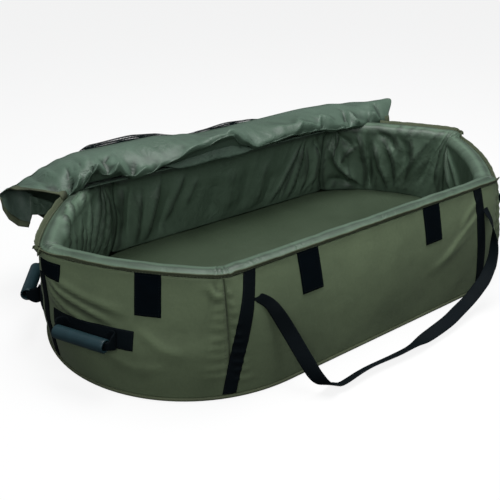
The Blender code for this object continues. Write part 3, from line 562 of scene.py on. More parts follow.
def cloth_grid(name: str, cells: tuple[int, int], place: Place, size: tuple[float, float],
               thickness: float = 0.0, offset: float = -1.0) -> bpy.types.Object:
    """Shape a flat grid into a piece of cloth.

    Args:
        name: the object's name.
        cells: cells along u and v.
        place: where the point at u and v, each from 0 to 1, goes.
        size: the cloth's real length along u and v, for its weave.
        thickness: the cloth's thickness, or 0 for a single sheet.
        offset: side the thickness goes to, from -1 to 1.

    Returns:
        The piece.
    """
    shape = bmesh.new()
    layer = shape.loops.layers.uv.new("cloth")
    bmesh.ops.create_grid(shape, x_segments=cells[0], y_segments=cells[1], size=0.5)
    for face in shape.faces:
        for loop in face.loops:
            spot = loop.vert.co
            loop[layer].uv = ((spot.x + 0.5) * size[0], (spot.y + 0.5) * size[1])
    for vertex in shape.verts:
        vertex.co = place(vertex.co.x + 0.5, vertex.co.y + 0.5)
    piece = finish_mesh(name, shape)
    mark_creases(piece, -1.0 if offset > 0 else 1.0)
    if thickness:
        thicken(piece, thickness, offset)
    return piece


@dataclass(frozen=True)
class Strand:
    """Where one cross-section of a strap lies: its centre and the ways of its width and thickness."""

    centre: Vector
    wide: Vector
    thick: Vector


def strap_mesh(name: str, route: Sequence[Strand], width: float, thickness: float, sides: int = 12,
               power: float = 0.25) -> bpy.types.Object:
    """Shape a tube of flattened cross-section along a route.

    Args:
        name: the object's name.
        route: cross-sections from one end to the other.
        width: full width of the section.
        thickness: full thickness of the section.
        sides: sides of the section.
        power: 1 gives an ellipse, and less gives a flatter section.

    Returns:
        The piece, closed at both ends.
    """
    shape = bmesh.new()
    layer = shape.loops.layers.uv.new("cloth")
    last = len(route) - 1
    bmesh.ops.create_grid(shape, x_segments=last, y_segments=sides, size=0.5)
    length = sum((after.centre - before.centre).length for before, after in zip(route, route[1:]))
    for face in shape.faces:
        for loop in face.loops:
            spot = loop.vert.co
            loop[layer].uv = ((spot.x + 0.5) * length, (spot.y + 0.5) * width * 2)
    for vertex in shape.verts:
        strand = route[round((vertex.co.x + 0.5) * last)]
        angle = (vertex.co.y + 0.5) * 2 * math.pi
        across = math.cos(angle)
        up = math.sin(angle)
        across = math.copysign(abs(across) ** (power + 0.35), across)
        up = math.copysign(abs(up) ** power, up)
        vertex.co = strand.centre + strand.wide * across * width / 2 + strand.thick * up * thickness / 2
    bmesh.ops.remove_doubles(shape, verts=shape.verts, dist=0.000001)
    bmesh.ops.holes_fill(shape, edges=[edge for edge in shape.edges if edge.is_boundary], sides=0)
    bmesh.ops.recalc_face_normals(shape, faces=shape.faces)
    return finish_mesh(name, shape)


def smooth_points(points: Sequence[Vector], steps: int) -> list[Vector]:
    """Run a smooth curve through points.

    Args:
        points: what the curve passes through.
        steps: stretches between two of them.

    Returns:
        Points along the curve.
    """
    route = [points[0] * 2 - points[1], *points, points[-1] * 2 - points[-2]]
    spots: list[Vector] = []
    for index in range(1, len(route) - 2):
        spots += [curve(*route[index - 1:index + 3], step / steps) for step in range(steps)]
    return [*spots, route[-2].copy()]


def stitch_rows(name: str, rows: Sequence[Row], pitch: float = 0.0062, length: float = 0.0042,
                thickness: float = 0.0011) -> bpy.types.Object:
    """Lay rows of stitches.

    Args:
        name: the object's name.
        rows: for each row, points with the outward direction at each.
        pitch: distance from stitch to stitch.
        length: length of a stitch.
        thickness: thickness of the thread.

    Returns:
        One piece with all the stitches.
    """
    shape = bmesh.new()
    for row in rows:
        walked = 0.0
        due = pitch / 2
        for (start, lift), (end, _) in zip(row, row[1:]):
            span = (end - start).length
            while span > 0 and due <= walked + span:
                spot = start.lerp(end, (due - walked) / span)
                along = (end - start).normalized()
                side = lift.cross(along).normalized()
                up = along.cross(side)
                axes = Matrix((along * length / 2, side * thickness / 2, up * thickness / 2)).transposed()
                bmesh.ops.create_icosphere(shape, subdivisions=1, radius=1.0,
                                           matrix=Matrix.Translation(spot) @ axes.to_4x4())
                due += pitch
            walked += span
    return finish_mesh(name, shape)


@dataclass
class Fold:
    """A fold through places on a surface: raised where its height is positive, sunk where it isn't.

    To the left of its places it falls away over near, and to the right over far.
    """

    places: tuple[tuple[float, float], ...]
    height: float
    near: float
    far: float = 0.0
    low: tuple[float, float] = field(init=False)
    high: tuple[float, float] = field(init=False)

    def __post_init__(self) -> None:
        """Fill in an even fold and work out how far it reaches."""
        self.far = self.far or self.near
        reach = 3 * max(self.near, self.far)
        self.low = tuple(min(place[axis] for place in self.places) - reach for axis in (0, 1))
        self.high = tuple(max(place[axis] for place in self.places) + reach for axis in (0, 1))

    def lift(self, x: float, y: float) -> float:
        """Read the fold at a place on the surface.

        Args:
            x: first coordinate of the place.
            y: second coordinate.

        Returns:
            The height, 0 if the fold is far away.
        """
        if not (self.low[0] < x < self.high[0] and self.low[1] < y < self.high[1]):
            return 0.0
        nearest = 1.0
        side = 0.0
        along = 0.0
        walked = 0.0
        for (start_x, start_y), (end_x, end_y) in zip(self.places, self.places[1:]):
            step_x = end_x - start_x
            step_y = end_y - start_y
            span = math.hypot(step_x, step_y)
            share = ((x - start_x) * step_x + (y - start_y) * step_y) / (span * span)
            share = min(1.0, max(0.0, share))
            off_x = x - start_x - step_x * share
            off_y = y - start_y - step_y * share
            away = math.hypot(off_x, off_y)
            if away < nearest:
                nearest = away
                side = step_x * off_y - step_y * off_x
                along = walked + span * share
            walked += span
        width = self.near if side > 0 else self.far
        strength = mix(0.15, 1.0, ease(min(along, walked - along) / (0.3 * walked)))
        return self.height * strength * math.exp(-((nearest / width) ** 1.4))


def made_folds(*rows: tuple[float, ...]) -> list[Fold]:
    """Make folds from short rows.

    Args:
        rows: for each fold, x and y of its places in millimetres, then height, near and far in tenths of one.

    Returns:
        The folds in their order.
    """
    return [Fold(tuple(grouped(2, 1000, *row[:-3])), *(size / 10000 for size in row[-3:])) for row in rows]


def folds(listed: Sequence[Fold], x: float, y: float) -> float:
    """Add up the folds at a place."""
    return sum(fold.lift(x, y) for fold in listed)


@dataclass
class WallShape:
    """The six-sided wall with pointed ends, as a surface to lay cloth, tape and webbing on."""

    length: float = 1.200
    height: float = 0.250
    rim_half: float = 0.293
    base_radius: float = 0.335
    corner_turn: float = math.radians(40.5)
    tip_turn: float = math.radians(63.7)
    corner_radius: float = 0.050
    tip_radius: float = 0.050
    middle: float = 0.125
    wall: float = 0.042
    sag: float = 0.0120
    base_centre: float = field(init=False)
    panel_radius: float = field(init=False)
    rim_straight: float = field(init=False)
    quarter: float = field(init=False)
    seam: float = field(init=False)

    def __post_init__(self) -> None:
        """Work out what follows from the sizes."""
        self.base_centre = self.length / 2 - self.base_radius
        bend = math.cos(self.corner_turn) - math.cos(self.tip_turn)
        reach = self.rim_half - self.corner_radius * (1 - math.cos(self.corner_turn))
        self.panel_radius = (reach - self.tip_radius * math.cos(self.tip_turn)) / bend
        across = (self.corner_radius - self.panel_radius) * math.sin(self.corner_turn)
        across += (self.panel_radius - self.tip_radius) * math.sin(self.tip_turn)
        self.rim_straight = self.length / 2 - self.tip_radius - across
        self.quarter = self.quarter_length(self.middle)
        straight, curved = self.stretches(self.middle)
        self.seam = straight + self.corner_turn / 2 * curved[0][2]

    def stretches(self, height: float) -> tuple[float, list[tuple[float, float, float]]]:
        """Divide a quarter of the wall, from the middle of the front to a tip, into its stretches.

        Args:
            height: the height.

        Returns:
            Length of the straight one, and for each curved one the turn at its start and end and its radius.
        """
        share = height / self.height
        turns = (0.0, self.corner_turn, self.tip_turn, math.pi / 2)
        radii = (self.corner_radius, self.panel_radius, self.tip_radius)
        curved = [(start, end, mix(self.base_radius, radius, share))
                  for start, end, radius in zip(turns, turns[1:], radii)]
        return mix(self.base_centre, self.rim_straight, share), curved

    def wrapped(self, run: float) -> float:
        """Run of the same place that is at most half the way round to either side."""
        whole = 4 * self.quarter
        return (run + whole / 2) % whole - whole / 2

    def quarter_length(self, height: float) -> float:
        """Measure the wall from the middle of the front to a tip.

        Args:
            height: the height.

        Returns:
            The length.
        """
        length, curved = self.stretches(height)
        for start, end, bend in curved:
            length += (end - start) * bend
        return length

    @staticmethod
    def heading(turn: float) -> Vector:
        """Outward direction where the wall's edge has turned by turn."""
        return Vector((math.sin(turn), -math.cos(turn)))

    def rim_quarter(self, turn: float) -> Vector:
        """Follow the rim's outline in the front right quarter.

        Args:
            turn: how far the edge has turned.

        Returns:
            Its x and y.
        """
        corner = Vector((self.rim_straight, self.corner_radius - self.rim_half))
        if turn <= self.corner_turn:
            return corner + self.heading(turn) * self.corner_radius
        panel = corner + self.heading(self.corner_turn) * (self.corner_radius - self.panel_radius)
        if turn <= self.tip_turn:
            return panel + self.heading(turn) * self.panel_radius
        tip = panel + self.heading(self.tip_turn) * (self.panel_radius - self.tip_radius)
        return tip + self.heading(turn) * self.tip_radius

    def locate(self, run: float, height: float) -> tuple[float, float]:
        """Turn and side of the place that lies run from the middle of a long face, at a height.

        Args:
            run: distance along the wall, negative to the left.
            height: height at which the run is measured.

        Returns:
            The edge's turn, and -1 to 1 along the straight stretch.
        """
        straight, curved = self.stretches(height)
        rest = abs(run)
        sign = 1.0 if run >= 0 else -1.0
        if rest <= straight:
            return 0.0, run / straight
        rest -= straight
        for start, end, bend in curved:
            if rest <= (end - start) * bend:
                return sign * (start + rest / bend), sign
            rest -= (end - start) * bend
        return sign * math.pi / 2, sign

    def middle_run(self, turn: float, side: float) -> float:
        """Find the run at half height of a place.

        Args:
            turn: the edge's turn there.
            side: -1 to 1 along the straight stretch.

        Returns:
            The run.
        """
        run, curved = self.stretches(self.middle)
        if turn == 0.0:
            return side * run
        for start, end, bend in curved:
            run += (min(abs(turn), end) - start) * bend
            if abs(turn) <= end:
                break
        return math.copysign(run, turn)

    def spot(self, turn: float, side: float, height: float, out: float, facing: int) -> Vector:
        """Find a point by the wall's outer face.

        Args:
            turn: the edge's turn there.
            side: -1 to 1 along the straight stretch.
            height: its height.
            out: distance out from the face.
            facing: 1 for the front, or -1 to mirror it to the back.

        Returns:
            The point.
        """
        rim = self.rim_quarter(min(abs(turn), math.pi / 2))
        rim = Vector((side * rim.x, rim.y))
        base = Vector((side * self.base_centre, 0)) + self.heading(turn) * self.base_radius
        flat = base.lerp(rim, height / self.height) + self.heading(turn) * out
        # the padding sags between the right tip and the seam beside it on the front
        sag = self.sag * window(side * abs(turn), 0.45, 1.45, 0.30)
        sag *= ease((height - 0.150) / 0.100) if facing > 0 else 0.0
        flat -= self.heading(turn) * sag * 0.6
        return Vector((flat.x, flat.y * facing, height - sag * 0.8))

    def ring(self, run: float, height: float, out: float) -> Vector:
        """Find a point by its run at half height.

        Args:
            run: its run, which past a quarter is on the back.
            height: its height.
            out: distance out from the wall's outer face.

        Returns:
            The point.
        """
        run = self.wrapped(run)
        facing = 1 if abs(run) <= self.quarter else -1
        if facing < 0:
            run = math.copysign(2 * self.quarter - abs(run), run)
        return self.spot(*self.locate(run, self.middle), height, out, facing)

    def outward(self, run: float, height: float) -> Vector:
        """Outward direction at a place on the ring."""
        return (self.ring(run, height, 0.01) - self.ring(run, height, 0.0)).normalized()


class OuterSkin:
    """The outside of the wall as it really lies: swollen by its foam and lightly creased."""

    def __init__(self, shape: WallShape) -> None:
        """Keep the wall and list its creases, each by its runs and heights.

        Args:
            shape: the plain wall.
        """
        self.shape = shape
        listed = made_folds(
            (-752, 190, -690, 150, -640, 132, 65, 80, 50), (-735, 200, -660, 168, -585, 140, 75, 100, 50),
            (-705, 210, -640, 185, -560, 165, 50, 120, 60), (-750, 168, -705, 142, 50, 60, 40),
            (-560, 150, -500, 110, -440, 95, 36, 120, 120), (-640, 85, -560, 65, -470, 70, 30, 140, 140),
            (-460, 236, -420, 215, -385, 212, 40, 60, 60), (285, 200, 210, 150, 160, 110, 50, 140, 80),
            (270, 160, 180, 120, 120, 100, 34, 140, 140), (280, 235, 240, 200, 215, 170, 34, 100, 100),
            (430, 200, 520, 110, 40, 120, 120), (640, 180, 560, 110, 40, 110, 110),
        )
        # short puckers where the corner seams and the straps beside them draw the cloth in
        for step in range(10):
            height = 0.040 + 0.020 * step
            for middle, way in ((-0.381, 1), (0.381, -1)):
                tilt = 0.004 * math.sin(step * 2.1)
                ahead = (middle + way * 0.026, height - 0.005 + tilt)
                behind = (middle - way * 0.040, height + 0.014 - tilt)
                listed.append(Fold(((middle, height), ahead), 0.0030, 0.0045))
                listed.append(Fold(((middle, height + 0.008), behind), 0.0026, 0.0050))
        self.creases = tuple(listed)

    def lift(self, run: float, height: float) -> float:
        """Say how far the cloth stands out from the plain wall.

        Args:
            run: run at half height.
            height: the height.

        Returns:
            The distance.
        """
        shape = self.shape
        run = shape.wrapped(run)
        share = height / shape.height
        from_seam = min(abs(abs(run) - shape.seam), abs(2 * shape.quarter - abs(run) - shape.seam))
        # the end panels swell less above their handle bands, where the grips come up against them
        fullness = mix(0.0100, 0.0040, ease((abs(run) - shape.seam) / 0.06) * ease((height - 0.090) / 0.060))
        swell = fullness * bow(min(1.0, max(0.0, share)) ** 1.2) * (1 - 0.7 * hump(from_seam, 0.020))
        uneven = 0.0011 * ripple(run / 0.16, height / 0.13, 3.0)
        fine = 0.0004 * ripple(run / 0.045, height / 0.06, 9.0, 2)
        edge = window(share, 0.0, 1.0, 0.12, 0.10)
        return 0.0012 + swell + (uneven + fine + folds(self.creases, run, height)) * edge

    def point(self, run: float, height: float, out: float = 0.0) -> Vector:
        """Point of the cloth, and out from it."""
        return self.shape.ring(run, height, self.lift(run, height) + out)

    def level_point(self, run: float, height: float, out: float, facing: Face = Face.FRONT) -> Vector:
        """Point of the cloth by a run that is measured at its own height.

        Args:
            run: distance from the middle of a long face at this height.
            height: height above the ground.
            out: distance out from the cloth.
            facing: which long face the run starts from.

        Returns:
            The point.
        """
        shape = self.shape
        turn, side = shape.locate(run, height)
        middle_run = shape.middle_run(turn, side)
        if facing is Face.BACK:
            middle_run = math.copysign(2 * shape.quarter, middle_run or 1.0) - middle_run
        return shape.spot(turn, side, height, self.lift(middle_run, height) + out, facing.value)


@dataclass
class OuterCover:
    """The outer cloth: front, back and two end panels, with the seams between them and their stitching."""

    skin: OuterSkin
    finishes: Finishes
    low: float = 0.0028
    high: float = 0.2440

    def panel(self, name: str, start: float, end: float) -> None:
        """Lay one panel between two runs.

        Args:
            name: the node it replaces.
            start: run of its first seam.
            end: run of its last seam.
        """
        span = end - start

        def place(u: float, v: float) -> Vector:
            """Place a point of the panel, turned in a little at its seams."""
            run = start + span * u
            near = min(u, 1 - u) * span
            tuck = 0.0030 * hump(near, 0.0045)
            return self.skin.point(run, mix(self.low, self.high, v), -tuck)

        cells = (round(span / 0.0055), 44)
        piece = cloth_grid(f"{name}_cloth", cells, place, (span, self.high), CLOTH)
        self.finishes.dress(piece, "coated_polyester_outer", Body.TUB, name)

    def build(self) -> None:
        """Lay the four panels and stitch their seams."""
        shape = self.skin.shape
        quarter = shape.quarter
        seam = shape.seam
        behind = 2 * quarter - seam
        past = 2 * quarter + seam
        for name, start, end in (("front_cover", -seam, seam), ("right_end_cover", seam, behind),
                                 ("back_cover", behind, past), ("left_end_cover", -behind, -seam)):
            self.panel(name, start, end)
        heights = [mix(0.012, 0.242, index / 40) for index in range(41)]
        rows = []
        for run in (-seam, seam, behind, past):
            for step in (-0.0075, 0.0075):
                rows.append([(self.skin.point(run + step, height, 0.0004), shape.outward(run, height))
                             for height in heights])
        self.finishes.sew("cover_seam_stitches", "polyester_thread", Body.TUB, rows)


@dataclass
class Lining:
    """The padded lining over the wall's inner face and rim, in six lengths between deep seams."""

    shape: WallShape
    finishes: Finishes
    floor: float = 0.0420
    shoulder: float = 0.020
    crown: float = 0.0065
    face: float = field(init=False)
    total: float = field(init=False)
    folds: tuple[Fold, ...] = field(init=False)

    def __post_init__(self) -> None:
        """Work out the profile's length and list the folds, by run and way up the profile."""
        self.face = self.shape.height - self.shoulder - self.floor
        self.total = self.face + self.shoulder * math.pi / 2 + self.shape.wall - self.shoulder
        seam = self.shape.seam
        listed = []
        # upright pleats beside the seams of the front, gathered by their thread
        for middle in (-seam, seam):
            for offset, height, low, high in (
                (-0.052, 0.0060, 0.03, 0.17), (-0.034, -0.0060, 0.01, 0.14), (-0.019, 0.0062, 0.04, 0.20),
                (0.017, 0.0056, 0.01, 0.19), (0.031, -0.0052, 0.05, 0.15), (0.047, 0.0054, 0.02, 0.16),
            ):
                lean = 0.010 if offset > 0 else -0.008
                listed.append(Fold(((middle + offset + lean, low), (middle + offset, (low + high) / 2),
                                    (middle + offset * 0.8, high)), height, 0.0060))
        # narrow upright pleats before the left seam of the back wall, and wrinkles over the rim above them
        for top, low, height, width in (
            (-1.045, -1.020, 0.0070, 0.0060), (-1.066, -1.044, -0.0060, 0.0055),
            (-1.086, -1.066, 0.0075, 0.0055), (-1.108, -1.086, -0.0065, 0.0055),
            (-1.130, -1.104, 0.0080, 0.0060), (-1.154, -1.122, -0.0070, 0.0055),
            (-1.178, -1.140, 0.0070, 0.0055), (-1.202, -1.160, -0.0050, 0.0050),
        ):
            listed.append(Fold(((low, 0.012), ((top + low) / 2, 0.100), (top, 0.200)), height, width))
        listed += made_folds(
            (-1075, 205, -1035, 212, -1015, 195, 50, 75, 35),
            (-1050, 222, -990, 222, -965, 195, 50, 75, 35), (-990, 230, -945, 218, -930, 190, 50, 75, 35),
            (-930, 205, -900, 190, -890, 150, 50, 75, 35), (-1000, 180, -985, 140, -980, 80, 50, 75, 35),
            (-955, 180, -940, 130, -935, 60, 50, 75, 35), (-1020, 150, -1006, 100, -1000, 30, 50, 75, 35),
        )
        # long soft diagonals over the back wall, running down towards its left end
        listed += made_folds(
            (-1262, 185, -1205, 60, 70, 90, 60), (-1285, 190, -1215, 30, -60, 90, 90),
            (-1300, 160, -1232, 10, 70, 100, 60), (-1352, 175, -1262, 8, 90, 140, 70),
            (-1380, 150, -1300, 10, -60, 130, 130), (-1420, 185, -1330, 40, 60, 140, 80),
            (-1450, 160, -1400, 80, 36, 120, 120), (-1500, 150, -1480, 20, -40, 240, 240),
            (1530, 160, 1545, 20, 44, 220, 220), (1480, 150, 1490, 10, -40, 220, 220),
            (1430, 160, 1440, 10, 46, 200, 200), (1395, 120, 1400, 20, -36, 160, 160),
        )
        # sharp pulls that fan out from the top of the back wall towards its right seam
        listed += made_folds(
            (1322, 185, 1350, 100, 1372, 12, 80, 65, 40), (1318, 185, 1335, 90, 1342, 10, -70, 65, 40),
            (1314, 180, 1310, 90, 1305, 10, 80, 65, 40), (1308, 175, 1290, 90, 1280, 30, -70, 65, 40),
            (1300, 160, 1268, 70, 1255, 12, 60, 65, 40), (1272, 180, 1240, 100, 1215, 20, 80, 65, 40),
            (1285, 190, 1256, 150, 1240, 130, -70, 65, 40),
        )
        # loose cloth between the right seam of the back wall and the right tip
        listed += made_folds(
            (1215, 150, 1150, 92, 1065, 18, 120, 60, 180), (1170, 40, 1120, 30, 1090, 12, -80, 140, 140),
            (1200, 110, 1150, 150, 1090, 185, 90, 80, 140), (1130, 90, 1080, 130, 1035, 160, 90, 140, 80),
            (1105, 190, 1075, 160, 1060, 130, -70, 80, 80), (1030, 195, 1026, 100, 1026, 4, -130, 70, 70),
            (1050, 190, 1042, 150, 1044, 90, 80, 60, 100), (1014, 160, 994, 90, 955, 20, 90, 60, 110),
            (1005, 195, 975, 175, 960, 140, -80, 80, 60), (990, 180, 950, 100, 925, 30, 80, 60, 110),
            (960, 195, 930, 150, 920, 100, -60, 90, 70), (930, 190, 900, 110, 890, 40, 60, 100, 100),
            (870, 180, 845, 100, 840, 30, -50, 120, 120), (822, 195, 800, 140, 790, 60, 80, 60, 100),
            (750, 190, 735, 120, 720, 50, 70, 80, 120), (700, 185, 670, 120, 650, 50, 60, 120, 100),
        )
        self.folds = tuple(listed)

    def profile(self, way: float) -> tuple[float, float]:
        """Follow the lining's profile, up the inner face and over the rim.

        Args:
            way: length along the profile from the floor.

        Returns:
            Distance out from the outer face, and the height.
        """
        shape = self.shape
        top = shape.height
        bend = self.shoulder * math.pi / 2
        flat = shape.wall - self.shoulder
        if way < self.face:
            return -shape.wall - self.crown * bow(min(1.0, way / self.face * 1.02)), self.floor + way
        way -= self.face
        if way < bend:
            angle = way / self.shoulder
            return (-shape.wall + self.shoulder * (1 - math.cos(angle)),
                    top - self.shoulder + self.shoulder * math.sin(angle))
        across = (way - bend) / flat
        sink = 0.0034 * ease((across - 0.45) / 0.55)
        puff = 0.0026 * bow(across)
        return -flat * (1 - across) - 0.0004, top + puff - sink

    def depth(self, run: float, way: float, start: float, end: float) -> float:
        """Say how far the cloth stands off its profile: pinched at the seams, loose between them.

        Args:
            run: run at half height.
            way: way up the profile.
            start: run of the seam before.
            end: run of the seam after.

        Returns:
            The distance.
        """
        near = min(run - start, end - run)
        pinch = -0.0090 * hump(near, 0.0055) - 0.0045 * hump(near, 0.020)
        pinch *= 1 - 0.85 * ease((way / self.total - 0.72) / 0.12)
        body = 0.0026 * ripple(run / 0.085 + way * 3, way / 0.20, 21.0)
        fine = 0.0012 * ripple(run / 0.028 + way * 5, way / 0.07, 33.0, 2)
        face = ease(way / 0.022)
        rim = 1 - 0.50 * ease((way / self.total - 0.72) / 0.12)
        whole = 4 * self.shape.quarter
        place = self.shape.wrapped(run)
        other = place - whole if place > 0 else place + whole
        folded = 1.7 * (folds(self.folds, place, way) + folds(self.folds, other, way))
        loose = hump(near, 0.075) + window(place, 0.80, 1.20, 0.10)
        sharp = 0.45 - abs(ripple(run / 0.050 + way * 4, way / 0.22, 45.0, 2))
        folded += 0.0050 * sharp * (0.25 + min(1.0, loose))
        rise = pinch + (body + fine) * face * rim + folded * face
        return rise * ease((self.total - way) / 0.012)

    def lean(self, way: float) -> float:
        """How far the back wall's seams lean in towards its middle at a way up the profile."""
        return mix(0.015, 0.085, min(1.0, way / self.face))

    def length(self, name: str, start: float, end: float) -> None:
        """Lay one length of lining.

        Args:
            name: the wall it belongs to, as in the node names.
            start: run of its first seam.
            end: run of its last seam.
        """
        shape = self.shape
        span = end - start
        gap = 0.0004
        step = 0.0024

        def leaned(run: float, way: float) -> float:
            """Run of a seam at a way up: those of the back wall lean in towards its middle."""
            of_back = abs(abs(run) - (2 * shape.quarter - shape.seam)) < 0.001
            return run + math.copysign(self.lean(way), run) * of_back

        def place(u: float, v: float) -> Vector:
            """Place a point of the lining."""
            way = v * self.total
            first = leaned(start, way)
            last = leaned(end, way)
            # the back wall's own last seam is past the middle, so it leans the other way
            if start > 0 and end > 2 * shape.quarter:
                last = end - self.lean(way)
            run = mix(first + gap, last - gap, u)
            out, height = self.profile(way)
            depth = self.depth(run, way, first, last)
            ahead, above = self.profile(min(self.total, way + step))
            behind, below = self.profile(max(0.0, way - step))
            along = Vector((ahead - behind, above - below)).normalized()
            out += -along.y * depth
            height += along.x * depth
            return shape.ring(run, height, min(out, -0.0002))

        cells = (round(span / 0.0040), 62)
        piece = cloth_grid(f"{name}_padded_lining", cells, place, (span, 0.24), CLOTH)
        self.finishes.dress(piece, "proofed_nylon_lining", Body.TUB, f"{name}_lining", f"{name}_wall_foam")

    def build(self) -> None:
        """Lay all six lengths."""
        quarter = self.shape.quarter
        seam = self.shape.seam
        behind = 2 * quarter - seam
        for name, start, end in (("front", -seam, seam), ("right_front", seam, quarter),
                                 ("right_back", quarter, behind), ("back", behind, 2 * quarter + seam),
                                 ("left_back", -behind, -quarter), ("left_front", -quarter, -seam)):
            self.length(name, start, end)


@dataclass
class Floor:
    """The padded floor and the cloth under the mat."""

    shape: WallShape
    finishes: Finishes
    level: float = 0.0408
    crown: float = 0.0045

    def disc(self, name: str, inset: float, around: int, inward: int, height: Place) -> bpy.types.Object:
        """Fill the base's outline with cloth, in rings that close on the mat's long axis.

        Args:
            name: the object's name.
            inset: distance in from the wall's outer face.
            around: cells round the outline.
            inward: cells from the outline to the middle.
            height: level at a place by its x and y.

        Returns:
            The piece.
        """
        shape = self.shape
        whole = 4 * shape.quarter

        def place(u: float, v: float) -> Vector:
            """Place a point of the disc."""
            edge = shape.ring(whole * (u - 0.5), self.level, -inset)
            spine = Vector((max(-0.36, min(0.36, edge.x)), 0, 0))
            spot = Vector((edge.x, edge.y, 0)).lerp(spine, v)
            tuck = 0.0015 * hump(v * 0.3, 0.004) * (inset > 0)
            return Vector((spot.x, spot.y, height(spot.x, spot.y) - tuck))

        piece = cloth_grid(name, (around, inward), place, (whole, 0.3))
        merged = bmesh.new()
        merged.from_mesh(piece.data)
        bmesh.ops.remove_doubles(merged, verts=merged.verts, dist=WELD)
        layer = merged.loops.layers.uv.active
        for face in merged.faces:
            for loop in face.loops:
                loop[layer].uv = (loop.vert.co.x, loop.vert.co.y)
        merged.to_mesh(piece.data)
        merged.free()
        piece.data.shade_smooth()
        return piece

    def top(self, x: float, y: float) -> float:
        """Find the level of the floor's padded top.

        Args:
            x: place along the mat.
            y: place across it.

        Returns:
            The level.
        """
        swell = self.crown * (1 - min(1.0, (y / 0.27) ** 2)) * (1 - min(1.0, abs(x / 0.56) ** 4))
        uneven = 0.0024 * ripple(x / 0.28, y / 0.22, 51.0) + 0.0006 * ripple(x / 0.07, y / 0.09, 57.0, 2)
        return self.level + 0.0022 + swell + uneven * 0.8

    def build(self) -> None:
        """Lay the floor's cloth and the cloth beneath the mat."""
        floor = self.disc("padded_floor_cloth", self.shape.wall + CLOTH, 260, 44, self.top)
        # the floor's finish carries painted shade
        self.finishes.dress(floor, "proofed_nylon_floor_shaded", Body.TUB, "floor_lining", "floor_pad_foam")
        under = self.disc("base_cloth", 0.0, 220, 12, lambda x, y: 0.0)
        thicken(under, 0.0022, 1.0)
        self.finishes.dress(under, "proofed_base_cloth", Body.TUB, "ground_sheet")


@dataclass
class Edging:
    """The taped seam that stands up along the rim's outer edge, and the piping round the base."""

    skin: OuterSkin
    finishes: Finishes
    front_width: float = 0.0100
    back_width: float = 0.0150
    thickness: float = 0.0024

    def tape(self, name: str, start: float, end: float) -> None:
        """Lay the tape between two runs, wavy and leaning out, with ragged tails.

        Args:
            name: the node it replaces.
            start: first run.
            end: last run.
        """
        shape = self.skin.shape
        quarter = shape.quarter
        stations = 300
        route = []
        for index in range(stations + 1):
            run = mix(start, end, index / stations)
            behind = ease((abs(run) - quarter + 0.02) / 0.05)
            width = mix(self.front_width, self.back_width, behind)
            angle = mix(math.radians(66), math.radians(62), behind) + 0.28 * ripple(run / 0.06, 0.0, 61.0, 2)
            out = shape.outward(run, 0.246)
            wide = out * math.cos(angle) + Vector((0, 0, math.sin(angle)))
            tail = hump(min(index, stations - index) * 0.005, 0.008)
            size = width * (1 + 0.10 * ripple(run / 0.025, 4.0, 62.0, 2))
            root = shape.ring(run, 0.2452, 0.0012)
            along = Vector((-out.y, out.x, 0))
            spot = root + wide * (size * 0.46 + 0.0012 * ripple(run / 0.02, 8.0, 63.0, 2))
            spot += Vector((0, 0, -0.004)) * tail + out * 0.005 * tail
            route.append(Strand(spot, wide * (size / self.back_width), along.cross(wide).normalized()))
        piece = strap_mesh(name + "_tape", route, self.back_width, self.thickness, 12, 0.45)
        self.finishes.dress(piece, "woven_edging_tape", Body.TUB, name)
        rows = []
        for side in (1, -1):
            row = []
            for strand in route:
                lift = strand.thick * side
                inner = strand.centre - strand.wide * self.back_width * 0.20
                row.append((inner + lift * self.thickness * 0.5, lift))
            rows.append(row)
        self.finishes.sew(name + "_stitches", "polyester_thread", Body.TUB, rows)

    def frayed_end(self, end: End, across: int, rise: float, length: float) -> None:
        """Let the cut end of a tape stick out at a tip.

        Args:
            end: which tip.
            across: side of the tip it points to, -1 towards the front.
            rise: how steeply it points up.
            length: how far it sticks out.
        """
        quarter = self.skin.shape.quarter
        run = end.value * quarter
        root = self.skin.shape.ring(run, 0.2500, 0.0020) + Vector((0, across * 0.006, 0))
        way = Vector((end.value, across * 0.7, rise)).normalized()
        wide = Vector((0.15 * end.value, -0.2, 1.0))
        route = []
        for index in range(9):
            share = index / 8
            spot = root + way * length * share + Vector((0, 0, -0.005 * share * share))
            side = square_to(way, wide)
            route.append(Strand(spot, side * (1 - 0.35 * share ** 3), way.cross(side).normalized()))
        name = f"{end.label}_tip_tape_end_{'front' if across < 0 else 'back'}"
        piece = strap_mesh(name, route, 0.0125, 0.0022, 10, 0.4)
        self.finishes.dress(piece, "woven_edging_tape", Body.TUB)

    def build(self) -> None:
        """Lay both tapes, their loose ends and the base piping."""
        shape = self.skin.shape
        quarter = shape.quarter
        self.tape("rim_binding_front", -quarter + 0.001, quarter - 0.001)
        self.tape("rim_binding_back", quarter + 0.001, 3 * quarter - 0.001)
        for end, across, rise, length in ((End.LEFT, -1, 0.10, 0.012), (End.LEFT, 1, 0.55, 0.013),
                                          (End.RIGHT, -1, 0.20, 0.010), (End.RIGHT, 1, 0.45, 0.012)):
            self.frayed_end(end, across, rise, length)
        route = []
        stations = 320
        for index in range(stations + 1):
            run = 4 * quarter * index / stations
            out = shape.outward(run, 0.003)
            route.append(Strand(shape.ring(run, 0.0034, 0.0032), out, UP))
        piping = strap_mesh("base_piping_cord", route, 0.0064, 0.0066, 10, 0.9)
        self.finishes.dress(piping, "woven_edging_tape", Body.TUB, "base_piping")


